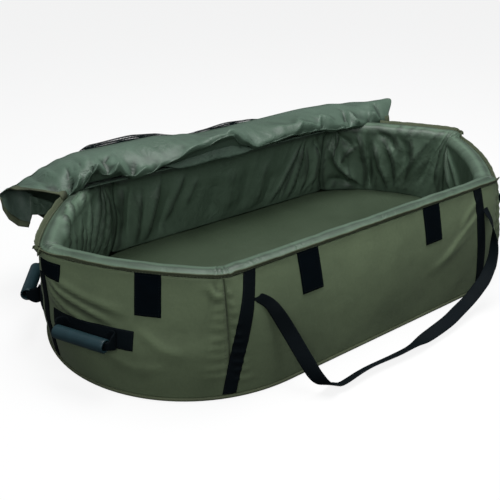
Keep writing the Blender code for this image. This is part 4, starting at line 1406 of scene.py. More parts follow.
@dataclass
class WallFittings:
    """Tapes and webbing sewn flat on the outside: patches, straps, tip webbing and handle bands."""

    skin: OuterSkin
    finishes: Finishes

    def plate(self, name: str, low: Edge, high: Edge, facing: Face, finish: str, thickness: float,
              margin: float = 0.0035) -> None:
        """Sew a flat piece on the wall.

        Args:
            name: the node it replaces.
            low: left run, right run and height of its lower edge.
            high: the same for its upper edge.
            facing: which long face its runs start from.
            finish: what it is made of.
            thickness: how thick it is.
            margin: how far in from its edges it is stitched.
        """
        width = abs(low[1] - low[0])
        tall = high[2] - low[2]

        def place(u: float, v: float, lift: float = 0.0) -> Vector:
            """Place a point of the piece."""
            run = mix(mix(low[0], low[1], u), mix(high[0], high[1], u), v)
            height = mix(low[2], high[2], v)
            inward = (min(u, 1 - u) * width, min(v, 1 - v) * tall)
            edge = sum(hump(gap, 0.002) for gap in inward)
            stitch = sum(hump(gap - margin, 0.0015) for gap in inward)
            top = thickness + 0.0006 - 0.0005 * min(1.0, edge) - 0.0004 * min(1.0, stitch) + lift
            return self.skin.level_point(run, height, top, facing)

        cells = (max(8, round(width / 0.0030)), max(8, round(tall / 0.0030)))
        piece = cloth_grid(f"{name}_cloth", cells, place, (width, tall), thickness + 0.0010,
                           -1.0 if facing is Face.FRONT else 1.0)
        self.finishes.dress(piece, finish, Body.TUB, name)
        u_in = margin / width
        v_in = margin / tall
        corners = ((u_in, v_in), (1 - u_in, v_in), (1 - u_in, 1 - v_in), (u_in, 1 - v_in), (u_in, v_in))
        row = []
        for start, end in zip(corners, corners[1:]):
            for step in range(12):
                u = mix(start[0], end[0], step / 12)
                v = mix(start[1], end[1], step / 12)
                spot = place(u, v, 0.0002)
                row.append((spot, self.facing_out(spot)))
        row.append(row[0])
        self.finishes.sew(f"{name}_stitches", "black_thread", Body.TUB, [row], 0.0050, 0.0034, 0.0009)

    def facing_out(self, spot: Vector) -> Vector:
        """Find the outward direction near the wall.

        Args:
            spot: the point.

        Returns:
            The direction.
        """
        shape = self.skin.shape
        near = Vector((max(-shape.base_centre, min(shape.base_centre, spot.x)), 0, spot.z))
        return (spot - near).normalized()

    def build(self) -> None:
        """Sew on every fitting."""
        shape = self.skin.shape
        half = TAPE_WIDTH / 2
        top = 0.2456
        low = 0.1672
        runs = {"left_corner_loop_patch": (-0.523, -0.5145), "front_left_loop_patch": (-0.195, -0.195),
                "front_right_loop_patch": (0.147, 0.147), "right_corner_loop_patch": (0.523, 0.5145)}
        for name, (foot, head) in runs.items():
            self.plate(name, (foot - half, foot + half, low), (head - half, head + half, top), Face.FRONT,
                       "loop_tape", 0.0020)
        for end in End:
            edges = []
            for height in (0.2007, 0.2327):
                tip = shape.quarter_length(height)
                first, last = sorted((end.value * (tip - 0.0006), end.value * (tip - 0.055)))
                edges.append((first, last, height))
            self.plate(f"{end.label}_tip_loop_patch", *edges, Face.FRONT, "loop_tape", 0.0020)
            for face in Face:
                self.strap(end, face)
                self.band(end, face)
            self.tip_webbing(end)

    def strap(self, end: End, face: Face) -> None:
        """Sew one reinforcing strap down a long face, 26 mm wide.

        Args:
            end: end it is nearer to.
            face: face it is on.
        """
        rim, base = (0.328, 0.391) if end.value * face.value < 0 else (0.302, 0.311)
        half = 0.013
        edges = [(end.value * run - half, end.value * run + half, height)
                 for run, height in ((base, 0.0086), (rim, 0.2458))]
        self.plate(f"{face.label}_{end.label}_strap", *edges, face, "polypropylene_webbing", 0.0018, 0.0025)

    def band(self, end: End, face: Face) -> None:
        """Sew one handle band along an end panel.

        Args:
            end: end of the mat.
            face: side of that end.
        """
        edges = []
        for height in (0.098, 0.136):
            outer = self.skin.shape.quarter_length(height) - BAND_FROM_TIP
            first, last = sorted((end.value * outer, end.value * (outer - BAND_LENGTH)))
            edges.append((first, last, height))
        self.plate(f"{end.label}_{face.label}_handle_band", *edges, face, "polypropylene_webbing", 0.0018,
                   0.0025)

    def tip_webbing(self, end: End) -> None:
        """Run webbing down one tip of the mat.

        Args:
            end: which tip.
        """
        skin = self.skin

        def place(u: float, v: float) -> Vector:
            """Place a point of the webbing, folded round the tip."""
            height = mix(0.0090, 0.2002, v)
            across = 2 * u - 1
            face = Face.FRONT if across * end.value <= 0 else Face.BACK
            run = end.value * (skin.shape.quarter_length(height) - abs(across) * 0.010)
            return skin.level_point(run, height, 0.0022, face)

        name = f"{end.label}_tip_webbing"
        piece = cloth_grid(name + "_cloth", (12, 60), place, (0.02, 0.191), 0.0026)
        self.finishes.dress(piece, "polypropylene_webbing", Body.TUB, name)


@dataclass
class Handle:
    """One end handle: a tube grip on a loop of webbing that is sewn to its band."""

    skin: OuterSkin
    finishes: Finishes
    end: End
    face: Face
    span: float = 0.122
    grip_length: float = 0.116
    grip_radius: float = 0.0135
    webbing: float = 0.035

    def build(self) -> None:
        """Make the grip and its webbing."""
        shape = self.skin.shape
        name = f"{self.end.label}_{self.face.label}_handle"
        low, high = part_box(f"{name}_grip")
        centre = (Vector(low) + Vector(high)) / 2
        middle = shape.quarter_length(BAND_HEIGHT) - BAND_FROM_TIP - BAND_LENGTH / 2
        runs = [self.end.value * (middle + offset) for offset in (-self.span / 2, self.span / 2)]
        ends = [self.skin.level_point(run, BAND_HEIGHT, 0.0048, self.face) for run in runs]
        along = ends[1] - ends[0]
        along.z = 0
        along.normalize()
        out = centre - (ends[0] + ends[1]) / 2
        out.z = 0
        out = square_to(along, out)
        self.grip(name, centre, along)
        half = self.grip_length / 2
        route: list[Strand] = []
        # from each end, its sewn part and its lift off the band, then the bend into the grip, as (along, out)
        sewn = ((-0.020, -0.0016), (-0.003, -0.0008), (0.002, 0.008))
        held = ((half + 0.006, -0.010), (half + 0.002, -0.001), (half - 0.012, 0.0), (0.030, 0.0))
        path: list[Vector] = []
        for end, sign in zip(ends, (-1, 1)):
            arm = [end + along * sign * step + out * rise for step, rise in sewn]
            arm += [centre + along * sign * step + out * rise for step, rise in held]
            path += arm[::-sign]
        points = smooth_points(path, 6)
        for spot, step in zip(points, headings(points)):
            outside = abs((spot - centre).dot(along)) > half - 0.012
            inside = ease(((centre - spot).dot(out) - 0.001) / 0.016) if outside else 0.0
            wide = square_to(step, UP)
            route.append(Strand(spot, wide * mix(0.50, 1.0, inside), step.cross(wide).normalized()))
        piece = strap_mesh(f"{name}_webbing", route, self.webbing, 0.0028, 14, 0.3)
        self.finishes.dress(piece, "polypropylene_webbing", name, f"{name}_loop")

    def grip(self, name: str, centre: Vector, along: Vector) -> None:
        """Turn the tube grip with softened ends, a bore and its glued slit.

        Args:
            name: the handle's name.
            centre: middle of the grip.
            along: its axis.
        """
        half = self.grip_length / 2
        bore = self.grip_radius - 0.0042
        edge = 0.0016
        profile = [(bore, half - 0.012), (bore, half - edge), (bore + edge * 0.4, half - edge * 0.3),
                   (bore + edge, half), (self.grip_radius - edge, half),
                   (self.grip_radius - edge * 0.3, half - edge * 0.4), (self.grip_radius, half - edge * 1.5)]
        profile += [(self.grip_radius, half * (1 - step / 6)) for step in range(1, 12)]
        profile += [(radius, -level) for radius, level in reversed(profile[:7])]
        shape = bmesh.new()
        corners = [shape.verts.new((radius, 0, level)) for radius, level in profile]
        edges = [shape.edges.new(pair) for pair in zip(corners, corners[1:])]
        bmesh.ops.spin(shape, geom=corners + edges, cent=(0, 0, 0), axis=(0, 0, 1), angle=2 * math.pi,
                       steps=36, use_merge=True)
        bmesh.ops.remove_doubles(shape, verts=shape.verts, dist=WELD)
        bmesh.ops.recalc_face_normals(shape, faces=shape.faces)
        for vertex in shape.verts:
            turn = math.atan2(vertex.co.y, vertex.co.x)
            radius = math.hypot(vertex.co.x, vertex.co.y)
            if radius > bore + edge:
                sink = 1 - 0.05 * hump(turn - 2.4, 0.10) + 0.012 * ripple(vertex.co.z * 18, turn, 70.0, 2)
                vertex.co.x *= sink
                vertex.co.y *= sink
        turn = UP.rotation_difference(along).to_matrix().to_4x4()
        bmesh.ops.transform(shape, matrix=Matrix.Translation(centre) @ turn, verts=shape.verts)
        piece = finish_mesh(f"{name}_tube_grip", shape)
        self.finishes.dress(piece, "cellular_rubber_grip", name, f"{name}_grip")


@dataclass
class CarryStraps:
    """The two long webbing straps."""

    skin: OuterSkin
    finishes: Finishes
    width: float = 0.0285
    end_width: float = 0.016
    thickness: float = 0.0022

    def lay(self, name: str, body: Body, points: Sequence[Vector], guides: Sequence[Vector],
            flat: bool) -> None:
        """Lay one strap.

        Args:
            name: the node it replaces.
            body: the body it rides on.
            points: what its middle line passes through.
            guides: direction of its width, or of its thickness if flat, at each of those points.
            flat: whether the guides give its thickness.
        """
        steps = 10
        line = smooth_points(points, steps)
        sides = smooth_points(guides, steps)
        route = []
        for index, (spot, step, guide) in enumerate(zip(line, headings(line), sides)):
            wide = square_to(step, guide)
            thick = step.cross(wide).normalized()
            if flat:
                wide, thick = thick, wide
            from_end = min(index, len(line) - 1 - index) / steps
            size = mix(self.end_width / self.width, 1.0, ease(from_end / 4))
            route.append(Strand(spot, wide * size, thick))
        piece = strap_mesh(name + "_webbing", route, self.width, self.thickness, 16, 0.3)
        self.finishes.dress(piece, "polypropylene_webbing", body, name)
        rows = []
        for side in (-0.40, 0.40):
            for face in (-1, 1):
                row = []
                for strand in route:
                    edge = strand.centre + strand.wide * self.width * side
                    row.append((edge + strand.thick * face * self.thickness * 0.50, strand.thick * face))
                rows.append(row)
        self.finishes.sew(name + "_stitches", "black_thread", body, rows, 0.0070, 0.0040, 0.0008)

    def build(self) -> None:
        """Lay the front strap with its loose, twisted loop, and the one that hangs behind."""
        left = -0.3256
        right = 0.3214
        sag = 0.208
        out = 0.108
        loose = 0.105
        lefts = grouped(
            3, 1000,
            0, 0, 0, 20, 50, 60, 230, 130, 150, 340, 250, 250, 470, 430, 430, 590, 710, 650, 700, 900, 810,
            860, 1010, 900, 1090, 990, 965, 1230, 1030, 970, 1690, 1000, 960, 2030, 990, 960,
            2610, 1020, 960, 3070, 1030, 950,
        )
        rights = grouped(
            3, 1000,
            2660, 1000, 940, 1990, 940, 910, 1540, 860, 880, 1090, 780, 840, 800, 760, 750, 590, 730, 680,
            270, 620, 540, 100, 490, 380, -10, 290, 190, -20, 60, 60, 0, 0, 0,
        )
        turns = grouped(
            3, 100,
            100, 0, 0, 100, 0, 0, 90, -10, 20, 85, -30, 45, 85, -30, 45, 85, -30, 45, 60, -50, 60,
            20, -80, 50, 0, -90, 30, 0, -86, 50, 0, -83, 55, 0, -83, 55, 0, -86, 50, 0, -88, 46,
            10, -98, -10, 25, -93, -30, 30, -90, -30, 30, -93, -20, 30, -94, -15, 20, -98, 0, -7, -98, 20,
            -24, -90, 34, -87, -32, 38, -100, 0, 0, -100, 0, 0,
        )
        points = []
        for start, inward, shares in ((left, loose, lefts), (right, -loose, rights)):
            for x, y, z in shares:
                points.append(Vector((start + inward * x, -CARRY_AXIS - out * y, CARRY_HEIGHT - sag * z)))
        self.lay("front_carry_strap", Body.FRONT_STRAP, points, [Vector(turn) for turn in turns], False)
        left = 0.3034
        right = 0.3376
        foot = 0.350
        low = 0.0156
        shares = grouped(2, 100, 0, 0, 0, 8, 1, 24, 5, 50, 12, 77, 23, 94, 36, 100)
        points = []
        for start, way, part in ((-left, 1, shares), (right, -1, shares[::-1])):
            for inward, down in part:
                points.append(Vector((start + way * (left + right) * inward, mix(CARRY_AXIS, foot, down),
                                      mix(CARRY_HEIGHT, low, down))))
        lean = Vector((0.0, -0.250, -0.042)).normalized()
        self.lay("back_carry_strap", Body.BACK_STRAP, points, [lean] * len(points), True)


class LidShape:
    """The thrown-back lid: its middle part from the fold to the ridge, and the flap that hangs behind."""

    def __init__(self) -> None:
        """List the heights of the lid's lines and its folds, each by its distance from the middle."""
        self.ridge_heights = grouped(
            2, 1000,
            -600, 238, -577, 243, -543, 254, -506, 268, -470, 283, -430, 295, -390, 302, -190, 302,
            -110, 293, -45, 285, 34, 285, 117, 288, 300, 292, 400, 289, 480, 280, 600, 268,
        )
        self.front_heights = grouped(
            2, 1000,
            -483, 241, -468, 250, -450, 256, -433, 262, -417, 276, -406, 287, -393, 292, -378, 282,
            -360, 275, -339, 279, -320, 266, -304, 255, -264, 258, -223, 270, -198, 274, -124, 288,
            -60, 299, -25, 300, 13, 277, 47, 256, 106, 262, 174, 269, 255, 266, 337, 254, 455, 245,
            540, 236,
        )
        self.pulls = made_folds(
            (-476, 2, -460, 50, -440, 100, -160, 60, 40), (-462, 4, -444, 40, -420, 85, 130, 100, 40),
            (-440, 0, -424, 30, -402, 60, -100, 55, 55), (-420, 20, -404, 55, -390, 92, -90, 55, 55),
            (-408, 10, -394, 40, -376, 75, 90, 65, 65),
            (-380, 20, -366, 60, -360, 88, -334, 100, -80, 60, 60),
            (-360, 20, -345, 50, -325, 70, 80, 80, 80), (-330, 20, -312, 55, -284, 82, -110, 65, 65),
            (-318, 15, -290, 45, -255, 62, 80, 90, 90), (-268, 30, -240, 60, -80, 60, 60),
            (-220, 5, -160, 40, -100, 50, 60, 140, 140), (-110, 10, -60, 24, -20, 36, 70, 70, 40),
            (-22, 46, 0, 24, 30, 12, -120, 60, 100), (-45, 50, -20, 70, 30, 66, 60, 100, 100),
            (20, 30, 60, 16, 120, 10, 80, 70, 100), (60, 34, 120, 50, 170, 38, -60, 90, 90),
            (120, 85, 190, 70, 240, 100, 50, 100, 100), (180, 30, 205, 56, 250, 42, -150, 40, 130),
            (185, 48, 210, 68, 258, 54, 80, 90, 40), (262, 36, 282, 68, 300, 56, 355, 50, -160, 40, 130),
            (270, 60, 284, 80, 330, 66, 80, 90, 40), (384, 96, 372, 60, 366, 20, -140, 60, 80),
            (392, 94, 398, 60, 412, 30, 90, 80, 50), (460, 72, 446, 40, 436, 8, -120, 60, 100),
            (456, 74, 474, 45, 490, 12, 130, 50, 110), (500, 100, 500, 60, 510, 20, -50, 100, 100),
        )
        self.net_rise = grouped(
            2, 1000,
            -440, 0, -400, 26, -340, 46, -240, 49, -170, 42, -90, 32, -30, 38, 50, 44, 120, 38, 200, 26,
            300, 0,
        )

    @staticmethod
    def line(stations: Sequence[tuple[float, float]], x: float) -> float:
        """Read a line given by stations, eased between them.

        Args:
            stations: pairs of x and value.
            x: where to read it.

        Returns:
            The value.
        """
        if x <= stations[0][0]:
            return stations[0][1]
        for (start, low), (end, high) in zip(stations, stations[1:]):
            if x <= end:
                return mix(low, high, ease((x - start) / (end - start)))
        return stations[-1][1]

    def across(self, share: float, back: float) -> float:
        """Distance from the middle of a place by its share of the width, -1 to 1, and how far back it is."""
        front_half = 0.484 if share < 0 else 0.534
        return share * mix(front_half, 0.574, ease((back - 0.38) / 0.22))

    def middle(self, share: float, way: float, lift: float = 0.0) -> Vector:
        """Point of the middle part.

        Args:
            share: from -1 to 1 across the lid.
            way: from 0 deep under the front lip, through its nose, to 1 at the ridge.
            lift: distance above the cloth.

        Returns:
            The point.
        """
        lip = 0.24
        if way < lip:
            under = 1 - way / lip
            x = self.across(share, 0.0)
            edge = self.line(self.front_heights, x)
            depth = 0.205 + 0.016 * under ** 1.25
            return Vector((x, depth, mix(edge, 0.2662, ease(under)) - lift))
        back = (way - lip) / (1 - lip)
        x = self.across(share, back)
        edge = self.line(self.front_heights, x)
        ridge = self.line(self.ridge_heights, x)
        tip = ease((abs(x + 0.03) - 0.430) / 0.100)
        crest = mix(mix(edge + 0.020, ridge + 0.008, 0.60) + 0.003, 0.291 + 0.008 * share, tip)
        stations = ((0.2050, edge), (0.1995, edge + 0.007), (0.2060, mix(edge + 0.018, edge + 0.030, tip)),
                    (0.2400, crest), (0.2860, mix(ridge + 0.009, mix(ridge, crest, 0.55), tip)),
                    (0.3370, ridge))
        place = back * 5
        index = min(4, int(place))
        part = place - index
        near = [stations[min(5, max(0, index + step))] for step in (-1, 0, 1, 2)]
        depth, height = (curve(*(station[axis] for station in near), part) for axis in (0, 1))
        rise = 1.6 * folds(self.pulls, x, back * 0.15)
        calm = 1 - back ** 6
        sharp = 0.45 - abs(ripple(x / 0.055 + back * 0.7, back * 1.1, 99.0, 2))
        rise += 0.0046 * sharp * calm * ease(back * 5)
        uneven = 0.0026 * ripple(x / 0.09 + back, back * 1.5, 81.0)
        uneven += 0.0012 * ripple(x / 0.030, back * 4, 87.0, 2)
        rise += uneven * calm * ease(back * 6)
        face = 1 - ease(back / 0.6)
        return Vector((x, depth - rise * 0.8 * face, height + rise * mix(1.0, 0.6, face) + lift))

    def tuck(self, x: float, share: float) -> Vector:
        """Find a point of the layer under the front edge.

        Args:
            x: place along the mat.
            share: 0 at its own edge, to 1 back under the upper layer.

        Returns:
            The point.
        """
        upper = self.line(self.front_heights, x)
        inside = window(x, -0.236, 0.058, 0.060, 0.040)
        low = mix(upper + 0.003, 0.2535 + 0.0015 * math.sin(x * 60), inside)
        roll = math.sin(math.pi / 2 * min(1.0, share / 0.35))
        top = max(upper + 0.004, low + 0.010)
        depth = 0.2010 + 0.004 * (1 - roll) + 0.022 * share + 0.004 * bow(share)
        height = mix(low, top, 0.25 * roll + 0.75 * share)
        uneven = 0.0016 * ripple(x / 0.05, share, 83.0)
        return Vector((x, depth + uneven, height))

    def flap_half(self, down: float) -> float:
        """Half-width of the hanging flap at a share of the way down."""
        return mix(0.575, 0.385, down)

    def flap(self, across: float, down: float, out: float = 0.0) -> Vector:
        """Point of the hanging flap.

        Args:
            across: from -1 to 1 across its width.
            down: from 0 at the ridge to 1 at its hem.
            out: distance behind the cloth.

        Returns:
            The point.
        """
        x = across * self.flap_half(down)
        ridge = self.line(self.ridge_heights, x)
        turn = min(1.0, down / 0.06)
        below = down * 0.282 - 0.012
        bulge = math.sin(math.pi * min(1.0, max(0.0, below / 0.062)))
        rise = self.line(self.net_rise, x) * bulge
        height = mix(ridge, 0.010, down) + rise
        depth = mix(0.3386, 0.372, down) + 0.006 * math.sin(math.pi / 2 * turn) * (1 - down) + 0.22 * rise
        wave = 0.0060 * math.sin(2 * math.pi * x / 0.300) * down
        uneven = 0.0030 * ripple(x / 0.12, down * 1.5, 91.0) + 0.0014 * ripple(x / 0.04, down * 4, 95.0, 2)
        wave += uneven * ease(down / 0.2) * (1 - bulge)
        return Vector((x, depth + wave + out, height))


@dataclass
class Lid:
    """The lid's cloth, net window, hems and hook patches."""

    finishes: Finishes
    shape: LidShape = field(default_factory=LidShape)
    hem: float = 0.020
    drop: float = 0.282
    half: float = 0.6
    hem_inset: float = 0.0203
    window_side: float = 0.0850
    window_top: float = 0.016
    window_low: float = 0.070

    def build(self) -> None:
        """Make every part of the lid."""
        for make in (self.rear, self.middle, self.layer, self.curl, self.border, self.net, self.flap_hem,
                     self.hooks):
            make()

    def rear(self) -> None:
        """Lay the part that stays on the back rim, up to the fold."""
        wall = WallShape()

        def rim(x: float) -> float:
            """Depth of the rim's outer edge at x."""
            low, high = 0.0, math.pi / 2
            for _ in range(24):
                turn = (low + high) / 2
                if wall.rim_quarter(turn).x < abs(x):
                    low = turn
                else:
                    high = turn
            return wall.rim_half if abs(x) <= wall.rim_straight else -wall.rim_quarter(low).y

        def place(u: float, v: float) -> Vector:
            """Place a point from the seam, v 0, to the fold, v 1."""
            x = mix(-0.480, 0.480, u)
            start = max(rim(x) - 0.0020, 0.222)
            top = 0.0118 * ease(v / 0.9)
            uneven = 0.0016 * ripple(x / 0.07, v * 2, 75.0) * bow(v)
            front = 0.2090 + 0.003 * hump(x + 0.370, 0.050)
            return Vector((x, mix(start, front, v), 0.2512 + top * 0.72 + max(-0.001, uneven)))

        piece = cloth_grid("lid_rear_cloth", (150, 14), place, (0.96, 0.09), 0.0014, 1.0)
        self.finishes.dress(piece, "proofed_nylon_lid", "", "lid_rear_panel")
        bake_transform(piece)

    def middle(self) -> None:
        """Lay the part from the fold to the ridge and the hems on its ends."""
        shape = self.shape
        inner = 1 - self.hem_inset / self.half

        def place(u: float, v: float) -> Vector:
            """Place a point across the mat at u and from lip to ridge at v."""
            return shape.middle(mix(-inner, 1.0, u), v)

        piece = cloth_grid("lid_middle_cloth", (300, 56), place, (1.16, 0.22), CLOTH, -1.0)
        self.finishes.dress(piece, "proofed_nylon_lid", Body.LID_MIDDLE, "lid_middle_panel")
        for end in End:
            def band(u: float, v: float, sign: int = end.value) -> Vector:
                """Place a point of an end hem."""
                lift = 0.0008 if sign < 0 else -0.0030
                return shape.middle(sign * mix(1 - self.hem / self.half, 0.998, u), mix(0.22, 1.0, v), lift)

            hem = cloth_grid(f"lid_{end.label}_hem_tape", (6, 44), band, (0.02, 0.16), 0.0030, 0.0)
            self.finishes.dress(hem, "woven_edging_tape", Body.LID_MIDDLE, f"lid_{end.label}_end_hem")

    def layer(self) -> None:
        """Lay the layer of the lid that shows below the upper one's lifted edge."""
        def place(u: float, v: float) -> Vector:
            """Place a point of the layer."""
            return self.shape.tuck(mix(-0.228, 0.054, u), v)

        piece = cloth_grid("lid_lower_layer_cloth", (80, 16), place, (0.28, 0.04), CLOTH, -1.0)
        self.finishes.dress(piece, "proofed_nylon_lid", Body.LID_MIDDLE)

    def curl(self) -> None:
        """Curl the flap's left corner forward, with its hem round the edge."""
        top = ((-0.594, 0.284), (-0.582, 0.290), (-0.564, 0.288), (-0.546, 0.276), (-0.532, 0.262))
        low = ((-0.599, 0.272), (-0.599, 0.246), (-0.590, 0.221), (-0.573, 0.200), (-0.552, 0.190))

        def place(u: float, v: float) -> Vector:
            """Place a point of the corner, from its top edge, v 0, to its hem."""
            index = min(3, int(u * 4))
            share = u * 4 - index
            upper, lower = ([mix(edge[index][axis], edge[index + 1][axis], share) for axis in (0, 1)]
                            for edge in (top, low))
            belly = bow(v) * 0.006
            x = mix(upper[0], lower[0], v) + mix(-belly, belly, u)
            z = mix(upper[1], lower[1], v)
            hollow = math.sin(math.pi * (0.08 + 0.84 * u)) * (1 - v * v)
            away = 0.010 + 0.050 * hollow + 0.0020 * ripple(x / 0.03, z / 0.03, 97.0, 2)
            return Vector((x + away * 0.25, 0.240 + away, z - away * 0.38))

        piece = cloth_grid("lid_curled_corner_cloth", (28, 24), place, (0.08, 0.08), 0.0014, 0.0)
        # painted light: the lightened lid cloth stands in for light on this corner, which lies in shade
        self.finishes.dress(piece, "proofed_nylon_lid_back", Body.LID_FLAP)

        def turned(u: float, v: float) -> Vector:
            """Place a point of the cloth that shows between the corner and the rim."""
            upper = (mix(-0.538, -0.478, u), mix(0.263, 0.226, u))
            lower = (mix(-0.544, -0.497, u), mix(0.217, 0.205, u))
            x = mix(upper[0], lower[0], v)
            wave = 0.0030 * ripple(x / 0.02, v * 1.5, 98.0, 2)
            away = mix(0.018, 0.004, v) + wave
            return Vector((x + away * 0.25, 0.240 + away, mix(upper[1], lower[1], v) - away * 0.38))

        side = cloth_grid("lid_turned_edge_cloth", (20, 14), turned, (0.055, 0.040), 0.0014, 0.0)
        self.finishes.dress(side, "proofed_nylon_lid", Body.LID_FLAP)

        def band(u: float, v: float) -> Vector:
            """Place a point of the hem along the corner's edge."""
            spot = place(u, mix(0.86, 1.02, v))
            return spot + Vector((-0.0004, -0.0016, 0.0))

        tape = cloth_grid("lid_curled_corner_hem", (28, 5), band, (0.11, 0.016), 0.0026, 0.0)
        self.finishes.dress(tape, "woven_edging_tape", Body.LID_FLAP)
        # each of these pieces gets its own copy of its mesh
        for item in (piece, side, tape):
            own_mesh(item)

    def ring(self, name: str, outer: Sequence[float], inner: Sequence[float], finish: str, node: str,
             open_top: bool) -> bpy.types.Object:
        """Lay a border round the flap.

        Args:
            name: the object's name.
            outer: its outer insets from the flap's ends, ridge and lowest edge.
            inner: its inner ones.
            finish: what it is made of.
            node: the node it replaces.
            open_top: whether it leaves out the ridge side.

        Returns:
            The piece.
        """
        shape = self.shape

        def spot(way: float, depth: float) -> Vector:
            """Point by its way round the border and its depth across it."""
            side, top, low = (mix(outer[index], inner[index], depth) for index in range(3))
            corners = ((-1.0, 0.0), (1.0, 0.0), (1.0, 1.0), (-1.0, 1.0), (-1.0, 0.0))
            shares = (0.0, 0.40, 0.50, 0.90, 1.0)
            index = next((i for i in range(4) if way <= shares[i + 1]), 3)
            part = (way - shares[index]) / (shares[index + 1] - shares[index])
            across = mix(corners[index][0], corners[index + 1][0], part)
            down = mix(corners[index][1], corners[index + 1][1], part)
            down = mix(top / self.drop, 1 - low / self.drop, down)
            half = shape.flap_half(down)
            return shape.flap(across * (1 - side / half), down, 0.0015)

        def place(u: float, v: float) -> Vector:
            """Place a point of the border."""
            return spot(mix(0.40, 1.0, u) if open_top else u, v)

        piece = cloth_grid(name, (300, 10), place, (2.6, 0.08), 0.0016, 0.0)
        return self.finishes.dress(piece, finish, Body.LID_FLAP, node)

    def border(self) -> None:
        """Lay the cloth border of the flap."""
        piece = self.ring("lid_flap_cloth", (self.hem_inset, 0.0, self.hem_inset),
                          (self.window_side, self.window_top, self.window_low), "proofed_nylon_lid",
                          "lid_flap_border", False)

    def flap_hem(self) -> None:
        """Lay the hem along the flap's ends and lowest edge."""
        self.ring("lid_flap_hem_tape", (0.0, 0.0, 0.0), (self.hem, 0.0, self.hem), "woven_edging_tape",
                  "lid_flap_hem", True)

    def net(self) -> None:
        """Make the net window from square meshes."""
        shape = self.shape
        columns, rows = 230, 46
        built = bmesh.new()
        bmesh.ops.create_grid(built, x_segments=columns, y_segments=rows, size=0.5)
        for vertex in built.verts:
            vertex.co.y *= rows / columns
        bmesh.ops.inset_individual(built, faces=built.faces[:], thickness=0.36 / columns, depth=0.0)

        def inside(vertex: bmesh.types.BMVert) -> bool:
            """Say whether a corner lies off the net's own lines."""
            across = ((vertex.co.x + 0.5) * columns) % 1
            along = (vertex.co.y * columns + rows / 2) % 1
            return 0.02 < across < 0.98 and 0.01 < along < 0.99

        holes = [face for face in built.faces if all(inside(vertex) for vertex in face.verts)]
        bmesh.ops.delete(built, geom=holes, context="FACES_ONLY")
        for vertex in built.verts:
            u = vertex.co.x + 0.5
            v = vertex.co.y * columns / rows + 0.5
            down = mix(self.window_top / self.drop, 1 - self.window_low / self.drop, v)
            half = shape.flap_half(down)
            vertex.co = shape.flap((2 * u - 1) * (1 - self.window_side / half), down, 0.0015)
        piece = finish_mesh("lid_net_window", built)
        self.finishes.dress(piece, "knitted_polyester_mesh", Body.LID_FLAP, "lid_mesh_window")

    def hooks(self) -> None:
        """Sew the hook patches inside the hem."""
        shape = self.shape
        places = (("front_left", -0.195, 0.928), ("front_right", 0.147, 0.928), ("left_corner", -1.0, 0.68),
                  ("right_corner", 1.0, 0.68), ("left_tip", -1.0, 0.46), ("right_tip", 1.0, 0.46))
        for which, where, low in places:
            def place(u: float, v: float, where: float = where, low: float = low) -> Vector:
                """Place a point of a patch, beside the flap's end if where is 1 or -1."""
                down = low - v * TAPE_WIDTH / self.drop
                half = shape.flap_half(down)
                x = where + (u - 0.5) * TAPE_WIDTH
                if abs(where) == 1:
                    x = where * (half - 0.0206) - where * u * TAPE_WIDTH
                return shape.flap(x / half, down, 0.0052)

            name = f"lid_{which}_hook_patch"
            piece = cloth_grid(name + "_tape", (16, 16), place, (TAPE_WIDTH, TAPE_WIDTH), 0.0022, 0.0)
            nodes = () if "tip" in name else (name,)
            self.finishes.dress(piece, "hook_tape", Body.LID_FLAP, *nodes)


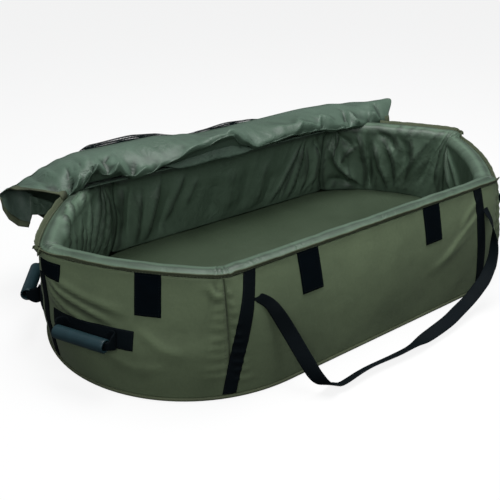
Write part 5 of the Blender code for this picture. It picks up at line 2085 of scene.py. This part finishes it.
@dataclass
class Studio:
    """Pale floor, plain soft light and the camera at the photograph's angle."""

    eye: tuple[float, float, float] = (-0.9107, -1.1336, 0.8133)
    yaw: float = 0.6097
    pitch: float = 0.4775
    roll: float = -0.0136
    focal: float = 658.53

    def camera(self) -> None:
        """Set the camera."""
        data = bpy.data.cameras.new("camera")
        data.sensor_width = 36.0
        data.lens = 36.0 * self.focal / 500
        camera = bpy.data.objects.new("camera", data)
        ahead = Vector((math.sin(self.yaw) * math.cos(self.pitch), math.cos(self.yaw) * math.cos(self.pitch),
                        -math.sin(self.pitch)))
        right = ahead.cross(UP).normalized()
        up = right.cross(ahead)
        tilted_right = right * math.cos(self.roll) + up * math.sin(self.roll)
        tilted_up = up * math.cos(self.roll) - right * math.sin(self.roll)
        turn = Matrix((tilted_right, tilted_up, -ahead)).transposed().to_4x4()
        camera.matrix_world = Matrix.Translation(self.eye) @ turn
        bpy.context.scene.collection.objects.link(camera)
        bpy.context.scene.camera = camera

    def lamp(self, name: str, place: tuple[float, float, float], size: float, power: float) -> None:
        """Hang one square soft lamp, turned towards the mat.

        Args:
            name: the lamp's name.
            place: where it hangs.
            size: its side.
            power: its power in watts.
        """
        data = bpy.data.lights.new(name, "AREA")
        data.size = size
        data.energy = power
        lamp = bpy.data.objects.new(name, data)
        spot = Vector(place)
        aim = (Vector((0, 0, 0.15)) - spot).to_track_quat("-Z", "Y").to_matrix().to_4x4()
        lamp.matrix_world = Matrix.Translation(spot) @ aim
        bpy.context.scene.collection.objects.link(lamp)

    def ground(self) -> None:
        """Lay a pale floor that looks white to the camera and keeps the mat's shadow."""
        shape = bmesh.new()
        bmesh.ops.create_grid(shape, x_segments=1, y_segments=1, size=12.0)
        floor = finish_mesh("studio_floor", shape)
        material = bpy.data.materials.new("matt_paper_floor")
        material.use_nodes = True
        tree = material.node_tree
        tree.nodes.clear()
        paper = add_node(tree, "BsdfDiffuse", {"Color": linear("#e8e8e8")})
        glow = add_node(tree, "Emission", {"Color": (1.0, 1.0, 1.0, 1.0), "Strength": 1.0})
        seen = add_node(tree, "MixShader", {"0": 0.86, "1": (paper, "BSDF"), "2": (glow, "Emission")})
        dim = add_node(tree, "BsdfDiffuse", {"Color": linear("#4a4a4a")})
        camera_only(tree, (dim, "BSDF"), (seen, "Shader"), "OutputMaterial")
        floor.data.materials.append(material)
        floor.location.z = -0.0006

    def build(self) -> None:
        """Set up floor, world, lamps and camera."""
        self.ground()
        world = bpy.data.worlds.new("studio_world")
        bpy.context.scene.world = world
        world.use_nodes = True
        tree = world.node_tree
        tree.nodes.clear()
        dim = add_node(tree, "Background", {"Color": (0.9, 0.95, 1.0, 1.0), "Strength": 0.24})
        white = add_node(tree, "Background", {"Color": (1.0, 1.0, 1.0, 1.0), "Strength": 1.0})
        camera_only(tree, (dim, "Background"), (white, "Background"), "OutputWorld")
        for name, place, size, power in (("overhead_softbox", (0.1, -0.1, 2.4), 1.4, 64.0),
                                         ("left_fill", (-1.8, -1.9, 1.9), 1.1, 24.0),
                                         ("right_fill", (0.9, -2.6, 1.5), 1.4, 6.0)):
            self.lamp(name, place, size, power)
        bpy.context.scene.view_settings.view_transform = "Standard"
        self.camera()


def main() -> None:
    """Load the frame, dress the mat and light it."""
    logging.basicConfig(level=logging.INFO, format="%(message)s")
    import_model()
    studio = Studio()
    studio.build()
    finishes = Finishes()
    wall = WallShape()
    skin = OuterSkin(wall)
    OuterCover(skin, finishes).build()
    Lining(wall, finishes).build()
    Floor(wall, finishes).build()
    Edging(skin, finishes).build()
    WallFittings(skin, finishes).build()
    for end in End:
        for face in Face:
            Handle(skin, finishes, end, face).build()
    CarryStraps(skin, finishes).build()
    Lid(finishes).build()


if __name__ == "__main__":
    main()
